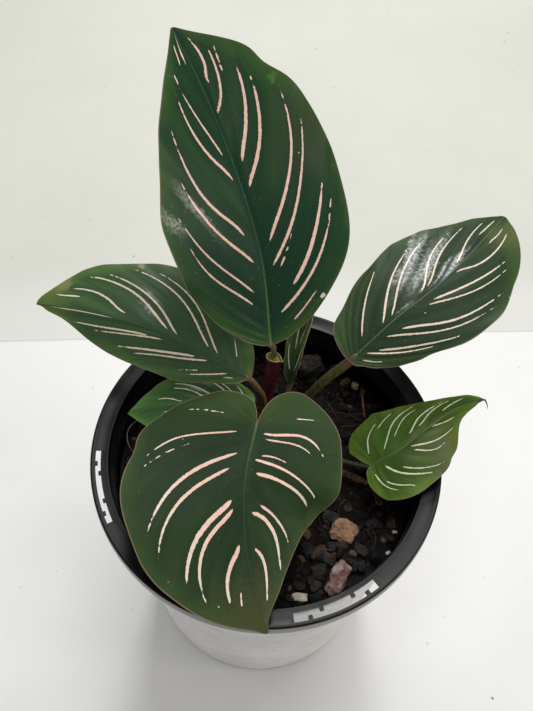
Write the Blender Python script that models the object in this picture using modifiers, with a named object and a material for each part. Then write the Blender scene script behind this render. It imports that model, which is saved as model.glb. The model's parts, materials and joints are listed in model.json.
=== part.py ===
"""A pinstripe calathea growing in a tall plastic nursery pot.

Metres, +Z up. The origin is the centre of the pot's flat underside.
Lengths in the tables below are millimetres, angles are degrees.
"""
import math

import bmesh
import bpy
from mathutils import Vector
from mathutils.noise import noise

MM = 0.001

# The pot
POT_HEIGHT = 200.0
RIM_RADIUS = 95.0
BASE_RADIUS = 71.0
WALL = 1.6
FLANGE_WIDTH = 10.0
FLANGE_THICKNESS = 1.6
SKIRT_DEPTH = 9.0
SKIRT_THICKNESS = 1.3
FLOOR_THICKNESS = 2.0
STEP_HEIGHT = 11.0
STEP_WIDTH = 0.8
POT_SIDES = 48

# The label slots through the rim, each between two angles seen from above
SLOTS = ((-177.0, -150.0), (-79.0, -50.0))
SLOT_RADIUS = 90.0
SLOT_WIDTH = 4.6
TOOTH_WIDTH = 3.0
TOOTH_REACH = 2.0
TEETH_PER_SLOT = 4

# The drainage holes
HOLE_COUNT = 8
HOLE_RING = 54.0
HOLE_RADIUS = 5.0

# The potting mix
SOIL_TOP = 176.0
SOIL_LUMP = 2.0
SOIL_LUMP_SIZE = 11.0
SOIL_RINGS = 12
GAP = 0.35

# The leaf blades
BLADE_THICKNESS = 0.8
ROWS = 14
COLUMNS = 8
ROW_SPACING = 0.7
VEIN_SWEEP = 3.3
VEIN_BOW = 0.35

# midrib: points the midrib runs through, from the stalk to the tip
# turn: how far the blade is rolled about the midrib at its base, middle and tip
# fold: how far the left and right halves are raised from flat, negative is drooping
# curl: how much each half bends down toward its margin, in degrees per millimetre
# width: half widths; belly: above 1 moves the widest place toward the base
# neck: above 1 keeps the margin near the stalk narrow; lobes: how far each half reaches back past it
# taper: for each half, the share of its width lost toward the tip, and how late that happens
# wave: height and number of the waves along the margin
# stalk: points the stalk runs through from inside the potting mix; radius: of the stalk
LEAVES = {
    "leaf_tall": {
        "midrib": ((-1, 43, 240), (-8, 69, 278), (-21, 91, 311), (-37, 110, 343), (-54, 125, 371)),
        "turn": (-9, -9, -2), "fold": (13, 10), "curl": (0.1, 0.1), "width": (50, 54),
        "belly": 1.0, "neck": 1.1, "lobes": (0, 0), "taper": ((0.8, 9), (0.8, 9)), "wave": (1.0, 3.0),
        "stalk": ((-2, 34.6, 152.5), (-2, 36, 177), (-1.7, 38.2, 194), (0, 40.5, 213), (0.4, 42.6, 229)),
        "radius": 1.5,
    },
    "leaf_left": {
        "midrib": ((-11, 33, 222), (-38, 37, 238), (-66, 44, 247), (-96, 52, 247), (-129, 61, 240)),
        "turn": (8, 6, 4), "fold": (-40, 8), "curl": (0.3, 0.1), "width": (29, 40),
        "belly": 1.05, "neck": 1.0, "lobes": (0, 0), "taper": ((0.6, 4), (0.3, 5)), "wave": (1.2, 3.0),
        "stalk": ((-3, 29, 150), (-3, 30, 176), (-3, 32.5, 198), (-6, 32.6, 209)),
        "radius": 1.5,
    },
    "leaf_right": {
        "midrib": ((41, 38, 236), (64, 59, 248), (88, 83, 254), (112, 111, 254), (128, 131, 247),
                   (133, 138, 238)),
        "turn": (-14, 6, 7), "fold": (-5, 0), "curl": (0.1, 0.3), "width": (36, 33),
        "belly": 0.95, "neck": 1.0, "lobes": (2, 2), "taper": ((0.5, 9), (0.5, 9)), "wave": (1.2, 2.5),
        "stalk": ((12, 31, 150), (13, 32, 176), (22, 37, 198), (31, 38, 217)),
        "radius": 2.3,
    },
    "leaf_front": {
        "midrib": ((-6, 3, 228), (-10, -29, 232), (-9, -54, 226), (-4, -76, 215), (5, -98, 204)),
        "turn": (-7, 16, 18), "fold": (-10, -3), "curl": (0.1, 0.1), "width": (51, 59),
        "belly": 1.4, "neck": 1.5, "lobes": (33, 18), "taper": ((0.65, 2), (0.6, 9)), "wave": (1.0, 3.0),
        "stalk": ((0, 20, 150), (0, 21, 176), (1, 17, 200), (-1, 9, 219)),
        "radius": 1.7,
    },
    "leaf_low_right": {
        "midrib": ((56, -5, 200), (71, 2, 207), (85, 13, 211), (101, 26, 211), (120, 37, 205)),
        "turn": (3, 8, -8), "fold": (-3, -3), "curl": (0.1, 0.1), "width": (28, 29),
        "belly": 2.2, "neck": 1.3, "lobes": (8, 6), "taper": ((0.7, 1.3), (0.7, 1.3)), "wave": (0.6, 2.5),
        "stalk": ((10, 17, 150), (11, 17, 176), (24, 8, 184), (42, 1, 190.5)),
        "radius": 1.1,
    },
    "leaf_low_left": {
        "midrib": ((-9, 23, 206), (-26, 22, 212), (-43, 20, 214), (-61, 17, 212), (-77, 15, 206)),
        "turn": (0, 0, 0), "fold": (-4, -4), "curl": (0.2, 0.2), "width": (18, 19),
        "belly": 1.2, "neck": 1.1, "lobes": (4, 4), "taper": ((0.8, 9), (0.8, 9)), "wave": (0.6, 2.0),
        "stalk": ((-9, 22, 150), (-9, 23, 176), (-6, 24, 193)),
        "radius": 1.1,
    },
    "leaf_narrow": {
        "midrib": ((11, 41, 203), (12, 44, 217), (14, 50, 232), (18, 60, 243), (22, 70, 250)),
        "turn": (0, 0, 0), "fold": (35, 50), "curl": (0.0, 0.0), "width": (9, 8),
        "belly": 1.0, "neck": 1.8, "lobes": (0, 0), "taper": ((0.6, 9), (0.6, 9)), "wave": (0.4, 2.0),
        "stalk": ((8, 39, 150), (8.3, 39.5, 177), (9.8, 40.3, 192)),
        "radius": 1.3,
    },
}
STALK_INTO_BLADE = 9.0
STALK_STEPS = 4

# The rolled sheath that the tall leaf's stalk comes out of
SHEATH_PATH = ((-2, 34.5, 152), (-2, 36, 177), (-2, 38, 193), (0, 40, 211), (1, 42, 229))
SHEATH_RADII = (3.3, 3.4, 3.8, 4.2, 4.5)
SHEATH_WALL = 0.9

# The cut old stem, and the twig
OLD_STEM_PATH = ((31, 5, 168), (37, 2, 178), (43, -1, 180.5), (50, -4, 181), (57, -6.5, 180))
OLD_STEM_RADII = (1.5, 1.9, 1.6, 2.0, 1.5)
TWIG_PATH = ((55, 57, 175.6), (55.4, 52, 176.8), (56, 44, 176.6), (57, 34, 175.2))
TWIG_RADII = (0.7, 0.6, 0.7, 0.5)

# Bark and wood pieces lying in the potting mix: place, half sizes and turn about Z
CHIPS = {
    "bark_lump": ((24, 67, 181), (7.5, 6.5, 7.0), 20),
    "bark_chip_tan": ((44, -34, 177.5), (7.5, 5.5, 3.0), -25),
    "bark_chip_brown": ((41, -61, 177.5), (6.5, 8.5, 3.0), 20),
    "bark_chip_cream": ((21, -72, 177.5), (4.0, 2.4, 1.8), 5),
    "bark_chip_small": ((30, -47, 177.2), (5.0, 2.6, 2.0), 40),
}
PRILL_PLACE = (51, 57, 178)
PRILL_RADIUS = 2.2

COLOURS = {
    "pot": ((0.34, 0.35, 0.35), 0.5),
    "soil": ((0.022, 0.016, 0.013), 0.95),
    "leaf": ((0.045, 0.12, 0.05), 0.35),
    "young_leaf": ((0.16, 0.24, 0.05), 0.4),
    "sheath": ((0.10, 0.035, 0.04), 0.5),
    "bark": ((0.12, 0.07, 0.045), 0.9),
    "pale_bark": ((0.36, 0.25, 0.17), 0.9),
    "prill": ((0.55, 0.43, 0.22), 0.5),
}


def clear_scene():
    """Remove everything that a new Blender file starts with."""
    for thing in list(bpy.data.objects):
        bpy.data.objects.remove(thing)


def material(name):
    """Make the plain material with this name."""
    colour, roughness = COLOURS[name]
    made = bpy.data.materials.new(name)
    made.use_nodes = True
    shader = made.node_tree.nodes["Principled BSDF"]
    shader.inputs["Base Color"].default_value = (*colour, 1.0)
    shader.inputs["Roughness"].default_value = roughness
    return made


def collection(name):
    """Make a collection in the scene."""
    made = bpy.data.collections.new(name)
    bpy.context.scene.collection.children.link(made)
    return made


def add_object(name, data, home):
    """Put an object with this mesh or curve in a collection."""
    made = bpy.data.objects.new(name, data)
    home.objects.link(made)
    return made


def add_mesh(name, bm, home):
    """Turn a bmesh into an object."""
    mesh = bpy.data.meshes.new(name)
    bm.to_mesh(mesh)
    bm.free()
    return add_object(name, mesh, home)


def evaluated(source, name, home):
    """Turn an object with its modifiers, or a curve, into a plain mesh object."""
    graph = bpy.context.evaluated_depsgraph_get()
    mesh = bpy.data.meshes.new_from_object(source.evaluated_get(graph))
    bm = bmesh.new()
    bm.from_mesh(mesh)
    bmesh.ops.remove_doubles(bm, verts=bm.verts, dist=1e-6)
    bmesh.ops.recalc_face_normals(bm, faces=bm.faces)
    if bm.calc_volume(signed=True) < 0:
        bmesh.ops.reverse_faces(bm, faces=bm.faces)
    bm.to_mesh(mesh)
    bm.free()
    place = source.matrix_world.copy()
    bpy.data.objects.remove(source)
    mesh.name = name
    made = add_object(name, mesh, home)
    made.matrix_world = place
    return made


def boolean(target, tool, operation, solver="EXACT"):
    """Cut or join one mesh with another, for good."""
    modifier = target.modifiers.new(operation.lower(), "BOOLEAN")
    modifier.operation = operation
    modifier.solver = solver
    modifier.object = tool
    graph = bpy.context.evaluated_depsgraph_get()
    mesh = bpy.data.meshes.new_from_object(target.evaluated_get(graph))
    target.modifiers.clear()
    target.data = mesh
    bpy.data.objects.remove(tool)


def path_through(points, steps):
    """Round off a chain of points: a Catmull-Rom curve through all of them."""
    chain = [Vector(point) for point in points]
    first = chain[0] * 2 - chain[1]
    last = chain[-1] * 2 - chain[-2]
    chain = [first, *chain, last]
    path = []
    for a, b, c, d in zip(chain, chain[1:], chain[2:], chain[3:]):
        for step in range(steps):
            s = step / steps
            path.append(0.5 * (2 * b + (c - a) * s + (2 * a - 5 * b + 4 * c - d) * s ** 2
                               + (3 * b - a - 3 * c + d) * s ** 3))
    path.append(chain[-2])
    return path


def between(values, share):
    """Read a short list of values at a place from 0 to 1 along it."""
    place = min(max(share, 0.0), 1.0) * (len(values) - 1)
    low = min(int(place), len(values) - 2)
    return values[low] + (values[low + 1] - values[low]) * (place - low)


def tube(name, points, radii, home, steps=STALK_STEPS, extra=0.0):
    """Make a closed rod along a path, with its radius read from a short list."""
    path = path_through(points, steps)
    curve = bpy.data.curves.new(name, "CURVE")
    curve.dimensions = "3D"
    curve.bevel_depth = MM
    curve.bevel_resolution = 2
    curve.use_fill_caps = True
    spline = curve.splines.new("POLY")
    spline.points.add(len(path) - 1)
    for index, place in enumerate(path):
        spline.points[index].co = (*(place * MM), 1.0)
        spline.points[index].radius = between(radii, index / (len(path) - 1)) + extra
    return evaluated(add_object(name, curve, home), name, home)


class Midrib:
    """The line down the middle of a leaf, with the blade's directions along it."""

    def __init__(self, leaf):
        self.leaf = leaf
        self.path = path_through(leaf["midrib"], 16)
        self.reach = [0.0]
        for a, b in zip(self.path, self.path[1:]):
            self.reach.append(self.reach[-1] + (b - a).length)
        self.length = self.reach[-1]

    def frame(self, along):
        """Place, forward, right and up directions at a distance from the stalk."""
        inside = min(max(along, 0.0), self.length)
        index = 0
        while index < len(self.reach) - 2 and self.reach[index + 1] < inside:
            index += 1
        low = self.path[max(index - 1, 0)]
        high = self.path[min(index + 2, len(self.path) - 1)]
        forward = (high - low).normalized()
        share = (inside - self.reach[index]) / (self.reach[index + 1] - self.reach[index])
        place = self.path[index].lerp(self.path[index + 1], share) + forward * (along - inside)
        level = forward.cross(Vector((0, 0, 1))).normalized()
        steep = level.cross(forward)
        turn = math.radians(between(self.leaf["turn"], inside / self.length))
        right = level * math.cos(turn) + steep * math.sin(turn)
        return place, forward, right, right.cross(forward)

    def point(self, side, out, along, lift=0.0):
        """A point of the blade, from its place on the leaf laid flat."""
        place, forward, right, up = self.frame(along)
        fold = math.radians(self.leaf["fold"][side])
        bend = math.radians(self.leaf["curl"][side]) + 1e-6
        sideways = (math.sin(fold) - math.sin(fold - bend * out)) / bend
        upward = (math.cos(fold - bend * out) - math.cos(fold)) / bend
        sign = 1 if side else -1
        return place + right * sideways * sign + up * (upward + lift)


def margin(leaf, length, side, share):
    """Where the flat leaf's edge is: out from the midrib and along it."""
    angle = math.pi * share
    along = length * ((1 - math.cos(angle)) / 2) ** leaf["belly"]
    out = leaf["width"][side] * max(math.sin(angle), 0.0)
    if share < 0.5:
        out = leaf["width"][side] * math.sin(angle) ** leaf["neck"]
        along -= leaf["lobes"][side] * math.sin(2 * angle)
    loss, lateness = leaf["taper"][side]
    out *= 1 - loss * max(along / length, 0.0) ** lateness
    return out, along


def blade(name, leaf, home):
    """Make a leaf's blade as a grid whose rows follow the veins."""
    midrib = Midrib(leaf)
    bm = bmesh.new()
    bmesh.ops.create_grid(bm, x_segments=COLUMNS, y_segments=ROWS, size=1.0)
    height, waves = leaf["wave"]
    for vertex in bm.verts:
        share = ((vertex.co.y + 1) / 2) ** ROW_SPACING
        side = 1 if vertex.co.x > 0 else 0
        v = abs(vertex.co.x)
        edge_out, edge_along = margin(leaf, midrib.length, side, share)
        start = midrib.length * share ** VEIN_SWEEP
        along = start + (edge_along - start) * ((1 - VEIN_BOW) * v + VEIN_BOW * v * v)
        lift = height * v ** 3 * math.sin(math.tau * waves * share + side) * math.sin(math.pi * share)
        vertex.co = midrib.point(side, edge_out * v, along, lift) * MM
    bmesh.ops.remove_doubles(bm, verts=bm.verts, dist=1e-5)
    bmesh.ops.triangulate(bm, faces=bm.faces)
    made = add_mesh(name, bm, home)
    solidify = made.modifiers.new("thickness", "SOLIDIFY")
    solidify.thickness = BLADE_THICKNESS * MM
    solidify.offset = -1.0
    return evaluated(made, name, home), midrib


def leaf_node(name, leaf, home):
    """Make a leaf: the blade with its stalk run into the underside of the midrib."""
    made, midrib = blade(name, leaf, home)
    under = -0.6 * BLADE_THICKNESS - 0.7 * leaf["radius"]
    joint = [midrib.point(1, 0.0, along, lift) for along, lift in
             ((-0.5, under), (0.5 * STALK_INTO_BLADE, 0.8 * under), (STALK_INTO_BLADE, -0.5))]
    radius = leaf["radius"]
    radii = (radius * 1.15, radius, radius, radius * 1.1, radius * 1.1, 0.3)
    rod = tube(name + "_stalk", (*leaf["stalk"], *joint), radii, home)
    boolean(made, rod, "UNION", "MANIFOLD")
    return made


def sheath(name, home):
    """Make the sheath: a rod hollowed from end to end."""
    made = tube(name, SHEATH_PATH, SHEATH_RADII, home)
    bottom = Vector(SHEATH_PATH[0]) * 2 - Vector(SHEATH_PATH[1])
    top = Vector(SHEATH_PATH[-1]) * 2 - Vector(SHEATH_PATH[-2])
    radii = (SHEATH_RADII[0], *SHEATH_RADII, SHEATH_RADII[-1])
    bore = tube("bore", (bottom, *SHEATH_PATH, top), radii, home, extra=-SHEATH_WALL)
    boolean(made, bore, "DIFFERENCE")
    return made


def pot_profile():
    """The pot's section from the middle of the underside round to its middle inside."""
    top_inside = RIM_RADIUS - FLANGE_WIDTH
    top_outside = top_inside + WALL
    under_flange = POT_HEIGHT - FLANGE_THICKNESS
    skirt_foot = POT_HEIGHT - SKIRT_DEPTH
    step_radius = BASE_RADIUS + STEP_HEIGHT * 0.07
    floor_radius = BASE_RADIUS - WALL
    return (
        (0, 0), (BASE_RADIUS - 1.5, 0), (BASE_RADIUS - 0.4, 0.4), (BASE_RADIUS, 1.5),
        (step_radius, STEP_HEIGHT), (step_radius + STEP_WIDTH, STEP_HEIGHT + 1.0),
        (top_outside, under_flange),
        (RIM_RADIUS - SKIRT_THICKNESS, under_flange), (RIM_RADIUS - SKIRT_THICKNESS + 0.5, skirt_foot),
        (RIM_RADIUS + 0.5, skirt_foot), (RIM_RADIUS, POT_HEIGHT - 0.8),
        (RIM_RADIUS - 0.8, POT_HEIGHT), (top_inside + 0.6, POT_HEIGHT), (top_inside, POT_HEIGHT - 0.6),
        (step_radius + STEP_WIDTH - WALL, STEP_HEIGHT + 2.0),
        (floor_radius, STEP_HEIGHT), (floor_radius - 1.0, FLOOR_THICKNESS), (0, FLOOR_THICKNESS),
    )


def turned(name, profile, sides, home):
    """Turn a section, given as radius and height, round the Z axis."""
    bm = bmesh.new()
    chain = [bm.verts.new((radius * MM, 0, height * MM)) for radius, height in profile]
    for a, b in zip(chain, chain[1:]):
        bm.edges.new((a, b))
    made = add_mesh(name, bm, home)
    screw = made.modifiers.new("turn", "SCREW")
    screw.steps = sides
    screw.render_steps = sides
    screw.use_merge_vertices = True
    screw.merge_threshold = 1e-5
    return evaluated(made, name, home)


def ring_piece(name, inner, outer, low, high, start, end, home):
    """Make a block bent round the Z axis between two angles."""
    steps = max(2, round(abs(end - start) / 3))
    bm = bmesh.new()
    bmesh.ops.create_cube(bm, size=1.0)
    across = [edge for edge in bm.edges if abs((edge.verts[0].co - edge.verts[1].co).x) > 0.5]
    bmesh.ops.subdivide_edges(bm, edges=across, cuts=steps - 1, use_grid_fill=True)
    for vertex in bm.verts:
        angle = math.radians(start + (vertex.co.x + 0.5) * (end - start))
        radius = inner + (vertex.co.y + 0.5) * (outer - inner)
        height = low + (vertex.co.z + 0.5) * (high - low)
        vertex.co = Vector((radius * math.cos(angle), radius * math.sin(angle), height)) * MM
    bmesh.ops.recalc_face_normals(bm, faces=bm.faces)
    return add_mesh(name, bm, home)


def pot(name, home, cutters):
    """Make the pot: a turned shell with label slots, their teeth, and drainage holes."""
    made = turned(name, pot_profile(), POT_SIDES, home)
    inner = SLOT_RADIUS - SLOT_WIDTH / 2
    outer = SLOT_RADIUS + SLOT_WIDTH / 2
    low = POT_HEIGHT - FLANGE_THICKNESS
    for start, end in SLOTS:
        slot = ring_piece("slot", inner, outer, low - 1, POT_HEIGHT + 1, start, end, cutters)
        for index in range(TEETH_PER_SLOT):
            middle = start + (end - start) * (index + 1) / (TEETH_PER_SLOT + 1)
            half = math.degrees(TOOTH_WIDTH / 2 / SLOT_RADIUS)
            near = (inner - 1, inner + TOOTH_REACH) if index % 2 else (outer - TOOTH_REACH, outer + 1)
            tooth = ring_piece("tooth", *near, low - 2, POT_HEIGHT + 2, middle - half, middle + half,
                               cutters)
            boolean(slot, tooth, "DIFFERENCE")
        boolean(made, slot, "DIFFERENCE")
    for index in range(HOLE_COUNT):
        angle = math.tau * (index + 0.5) / HOLE_COUNT
        bm = bmesh.new()
        bmesh.ops.create_cone(bm, cap_ends=True, segments=16, radius1=HOLE_RADIUS * MM,
                              radius2=HOLE_RADIUS * MM, depth=3 * FLOOR_THICKNESS * MM)
        hole = add_mesh("hole", bm, cutters)
        hole.location = Vector((math.cos(angle), math.sin(angle), 0)) * HOLE_RING * MM
        boolean(made, hole, "DIFFERENCE")
    return made


def soil_height(x, y):
    """Height of the potting mix's lumpy top."""
    lumps = noise(Vector((x, y, 0)) / SOIL_LUMP_SIZE) + 0.5 * noise(Vector((x, y, 40)) / 5)
    heap = 2.0 * math.exp(-((x - 2) ** 2 + (y - 28) ** 2) / 900)
    return SOIL_TOP + SOIL_LUMP * lumps + heap


def soil(name, home):
    """Make the potting mix, a turned block with a lumpy top."""
    step_radius = BASE_RADIUS + STEP_HEIGHT * 0.07
    inside_step = step_radius + STEP_WIDTH - WALL
    slope = (RIM_RADIUS - FLANGE_WIDTH - inside_step) / (POT_HEIGHT - 0.6 - STEP_HEIGHT - 2)
    top_radius = inside_step + slope * (SOIL_TOP - 4 - STEP_HEIGHT - 2) - GAP - 0.3
    foot = FLOOR_THICKNESS + GAP
    rings = [(top_radius * (SOIL_RINGS - ring) / SOIL_RINGS, SOIL_TOP) for ring in range(1, SOIL_RINGS + 1)]
    profile = (
        (0, foot), (BASE_RADIUS - WALL - 2.5, foot), (BASE_RADIUS - WALL - 1.2, STEP_HEIGHT),
        (inside_step - GAP - 0.4, STEP_HEIGHT + 4), (top_radius, SOIL_TOP - 4), *rings,
    )
    made = turned(name, profile, POT_SIDES, home)
    for vertex in made.data.vertices:
        if vertex.co.z > (SOIL_TOP - 1) * MM:
            vertex.co.z = soil_height(vertex.co.x / MM, vertex.co.y / MM) * MM
    return made


def lump(name, place, sizes, turn, home, grow=0.0):
    """Make a rough piece of bark from a ball pushed in and out by noise."""
    bm = bmesh.new()
    bmesh.ops.create_icosphere(bm, subdivisions=2, radius=1.0)
    seed = Vector((place[0], place[1], 7.0))
    for vertex in bm.verts:
        rough = 1 + 0.28 * noise(vertex.co * 1.3 + seed)
        rough += 0.12 * noise(vertex.co * 3.1 + seed)
        block = vertex.co / max(abs(vertex.co.x), abs(vertex.co.y), abs(vertex.co.z))
        shape = vertex.co.lerp(block, 0.35) * rough
        vertex.co = Vector([axis * (size + grow) for axis, size in zip(shape, sizes)]) * MM
    made = add_mesh(name, bm, home)
    made.location = Vector(place) * MM
    made.rotation_euler.z = math.radians(turn)
    return made


def main():
    """Build the whole plant in its pot."""
    clear_scene()
    home = collection("calathea_in_pot")
    cutters = collection("cutters")
    materials = {name: material(name) for name in COLOURS}
    pieces = {"pot": (pot("pot", home, cutters), "pot"), "soil": (soil("soil", home), "soil")}
    ground = pieces["soil"][0]

    for name, leaf in LEAVES.items():
        kind = "young_leaf" if name == "leaf_low_right" else "leaf"
        pieces[name] = (leaf_node(name, leaf, home), kind)
        if name != "leaf_tall":
            hole = tube("hole", leaf["stalk"], (leaf["radius"] * 1.15, leaf["radius"]), cutters, extra=GAP)
            boolean(ground, hole, "DIFFERENCE")

    pieces["leaf_sheath"] = (sheath("leaf_sheath", home), "sheath")
    boolean(ground, tube("hole", SHEATH_PATH, SHEATH_RADII, cutters, extra=GAP), "DIFFERENCE")
    pieces["old_stem"] = (tube("old_stem", OLD_STEM_PATH, OLD_STEM_RADII, home), "bark")
    boolean(ground, tube("hole", OLD_STEM_PATH, OLD_STEM_RADII, cutters, extra=GAP), "DIFFERENCE")
    pieces["wood_twig"] = (tube("wood_twig", TWIG_PATH, TWIG_RADII, home), "pale_bark")
    boolean(ground, tube("hole", TWIG_PATH, TWIG_RADII, cutters, extra=GAP), "DIFFERENCE")

    for name, (place, sizes, turn) in CHIPS.items():
        kind = "pale_bark" if name in ("bark_chip_tan", "bark_chip_cream") else "bark"
        pieces[name] = (lump(name, place, sizes, turn, home), kind)
        boolean(ground, lump("hole", place, sizes, turn, cutters, grow=2 * GAP), "DIFFERENCE")
    prill = (PRILL_PLACE, (PRILL_RADIUS,) * 3, 0)
    pieces["fertiliser_prill"] = (lump("fertiliser_prill", *prill, home), "prill")
    boolean(ground, lump("hole", *prill, cutters, grow=2 * GAP), "DIFFERENCE")

    for piece, kind in pieces.values():
        piece.data.materials.clear()
        piece.data.materials.append(materials[kind])
        piece.data.shade_smooth()
        piece.data.set_sharp_from_angle(angle=math.radians(35))
    bpy.data.collections.remove(cutters)


main()
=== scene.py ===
"""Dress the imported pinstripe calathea: leaves, stalks, sheath, potting mix and nursery pot.

Lengths are millimetres and angles are degrees until a mesh takes its place in metres.
"""
import json
import math
import random

import bmesh
import bpy
from bpy.props import FloatProperty, FloatVectorProperty, IntProperty, PointerProperty
from mathutils import Matrix, Vector
from mathutils.kdtree import KDTree
from mathutils.noise import noise

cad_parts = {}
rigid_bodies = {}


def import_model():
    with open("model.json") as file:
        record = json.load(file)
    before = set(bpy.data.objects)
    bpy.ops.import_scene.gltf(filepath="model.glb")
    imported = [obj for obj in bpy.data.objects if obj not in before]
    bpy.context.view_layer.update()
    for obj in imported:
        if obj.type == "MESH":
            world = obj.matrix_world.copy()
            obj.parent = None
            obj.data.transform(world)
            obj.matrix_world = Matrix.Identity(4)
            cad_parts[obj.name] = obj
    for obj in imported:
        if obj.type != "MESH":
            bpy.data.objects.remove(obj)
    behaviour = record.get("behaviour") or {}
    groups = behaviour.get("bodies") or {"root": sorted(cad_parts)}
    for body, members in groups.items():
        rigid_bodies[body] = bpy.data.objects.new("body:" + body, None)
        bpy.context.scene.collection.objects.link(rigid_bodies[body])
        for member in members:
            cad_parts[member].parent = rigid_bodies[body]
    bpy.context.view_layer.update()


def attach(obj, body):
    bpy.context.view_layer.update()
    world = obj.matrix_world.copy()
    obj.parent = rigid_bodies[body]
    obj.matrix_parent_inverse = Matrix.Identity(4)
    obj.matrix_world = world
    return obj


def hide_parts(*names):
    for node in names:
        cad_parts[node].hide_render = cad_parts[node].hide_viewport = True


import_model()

bl_info = {
    "name": "Pinstripe calathea in a nursery pot",
    "version": (1, 0, 0),
    "blender": (4, 5, 0),
    "location": "3D View > Sidebar > Calathea",
    "description": "Builds a striped calathea plant in its plastic pot around the packed model",
    "category": "Add Mesh",
}

MM = 0.001

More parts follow.
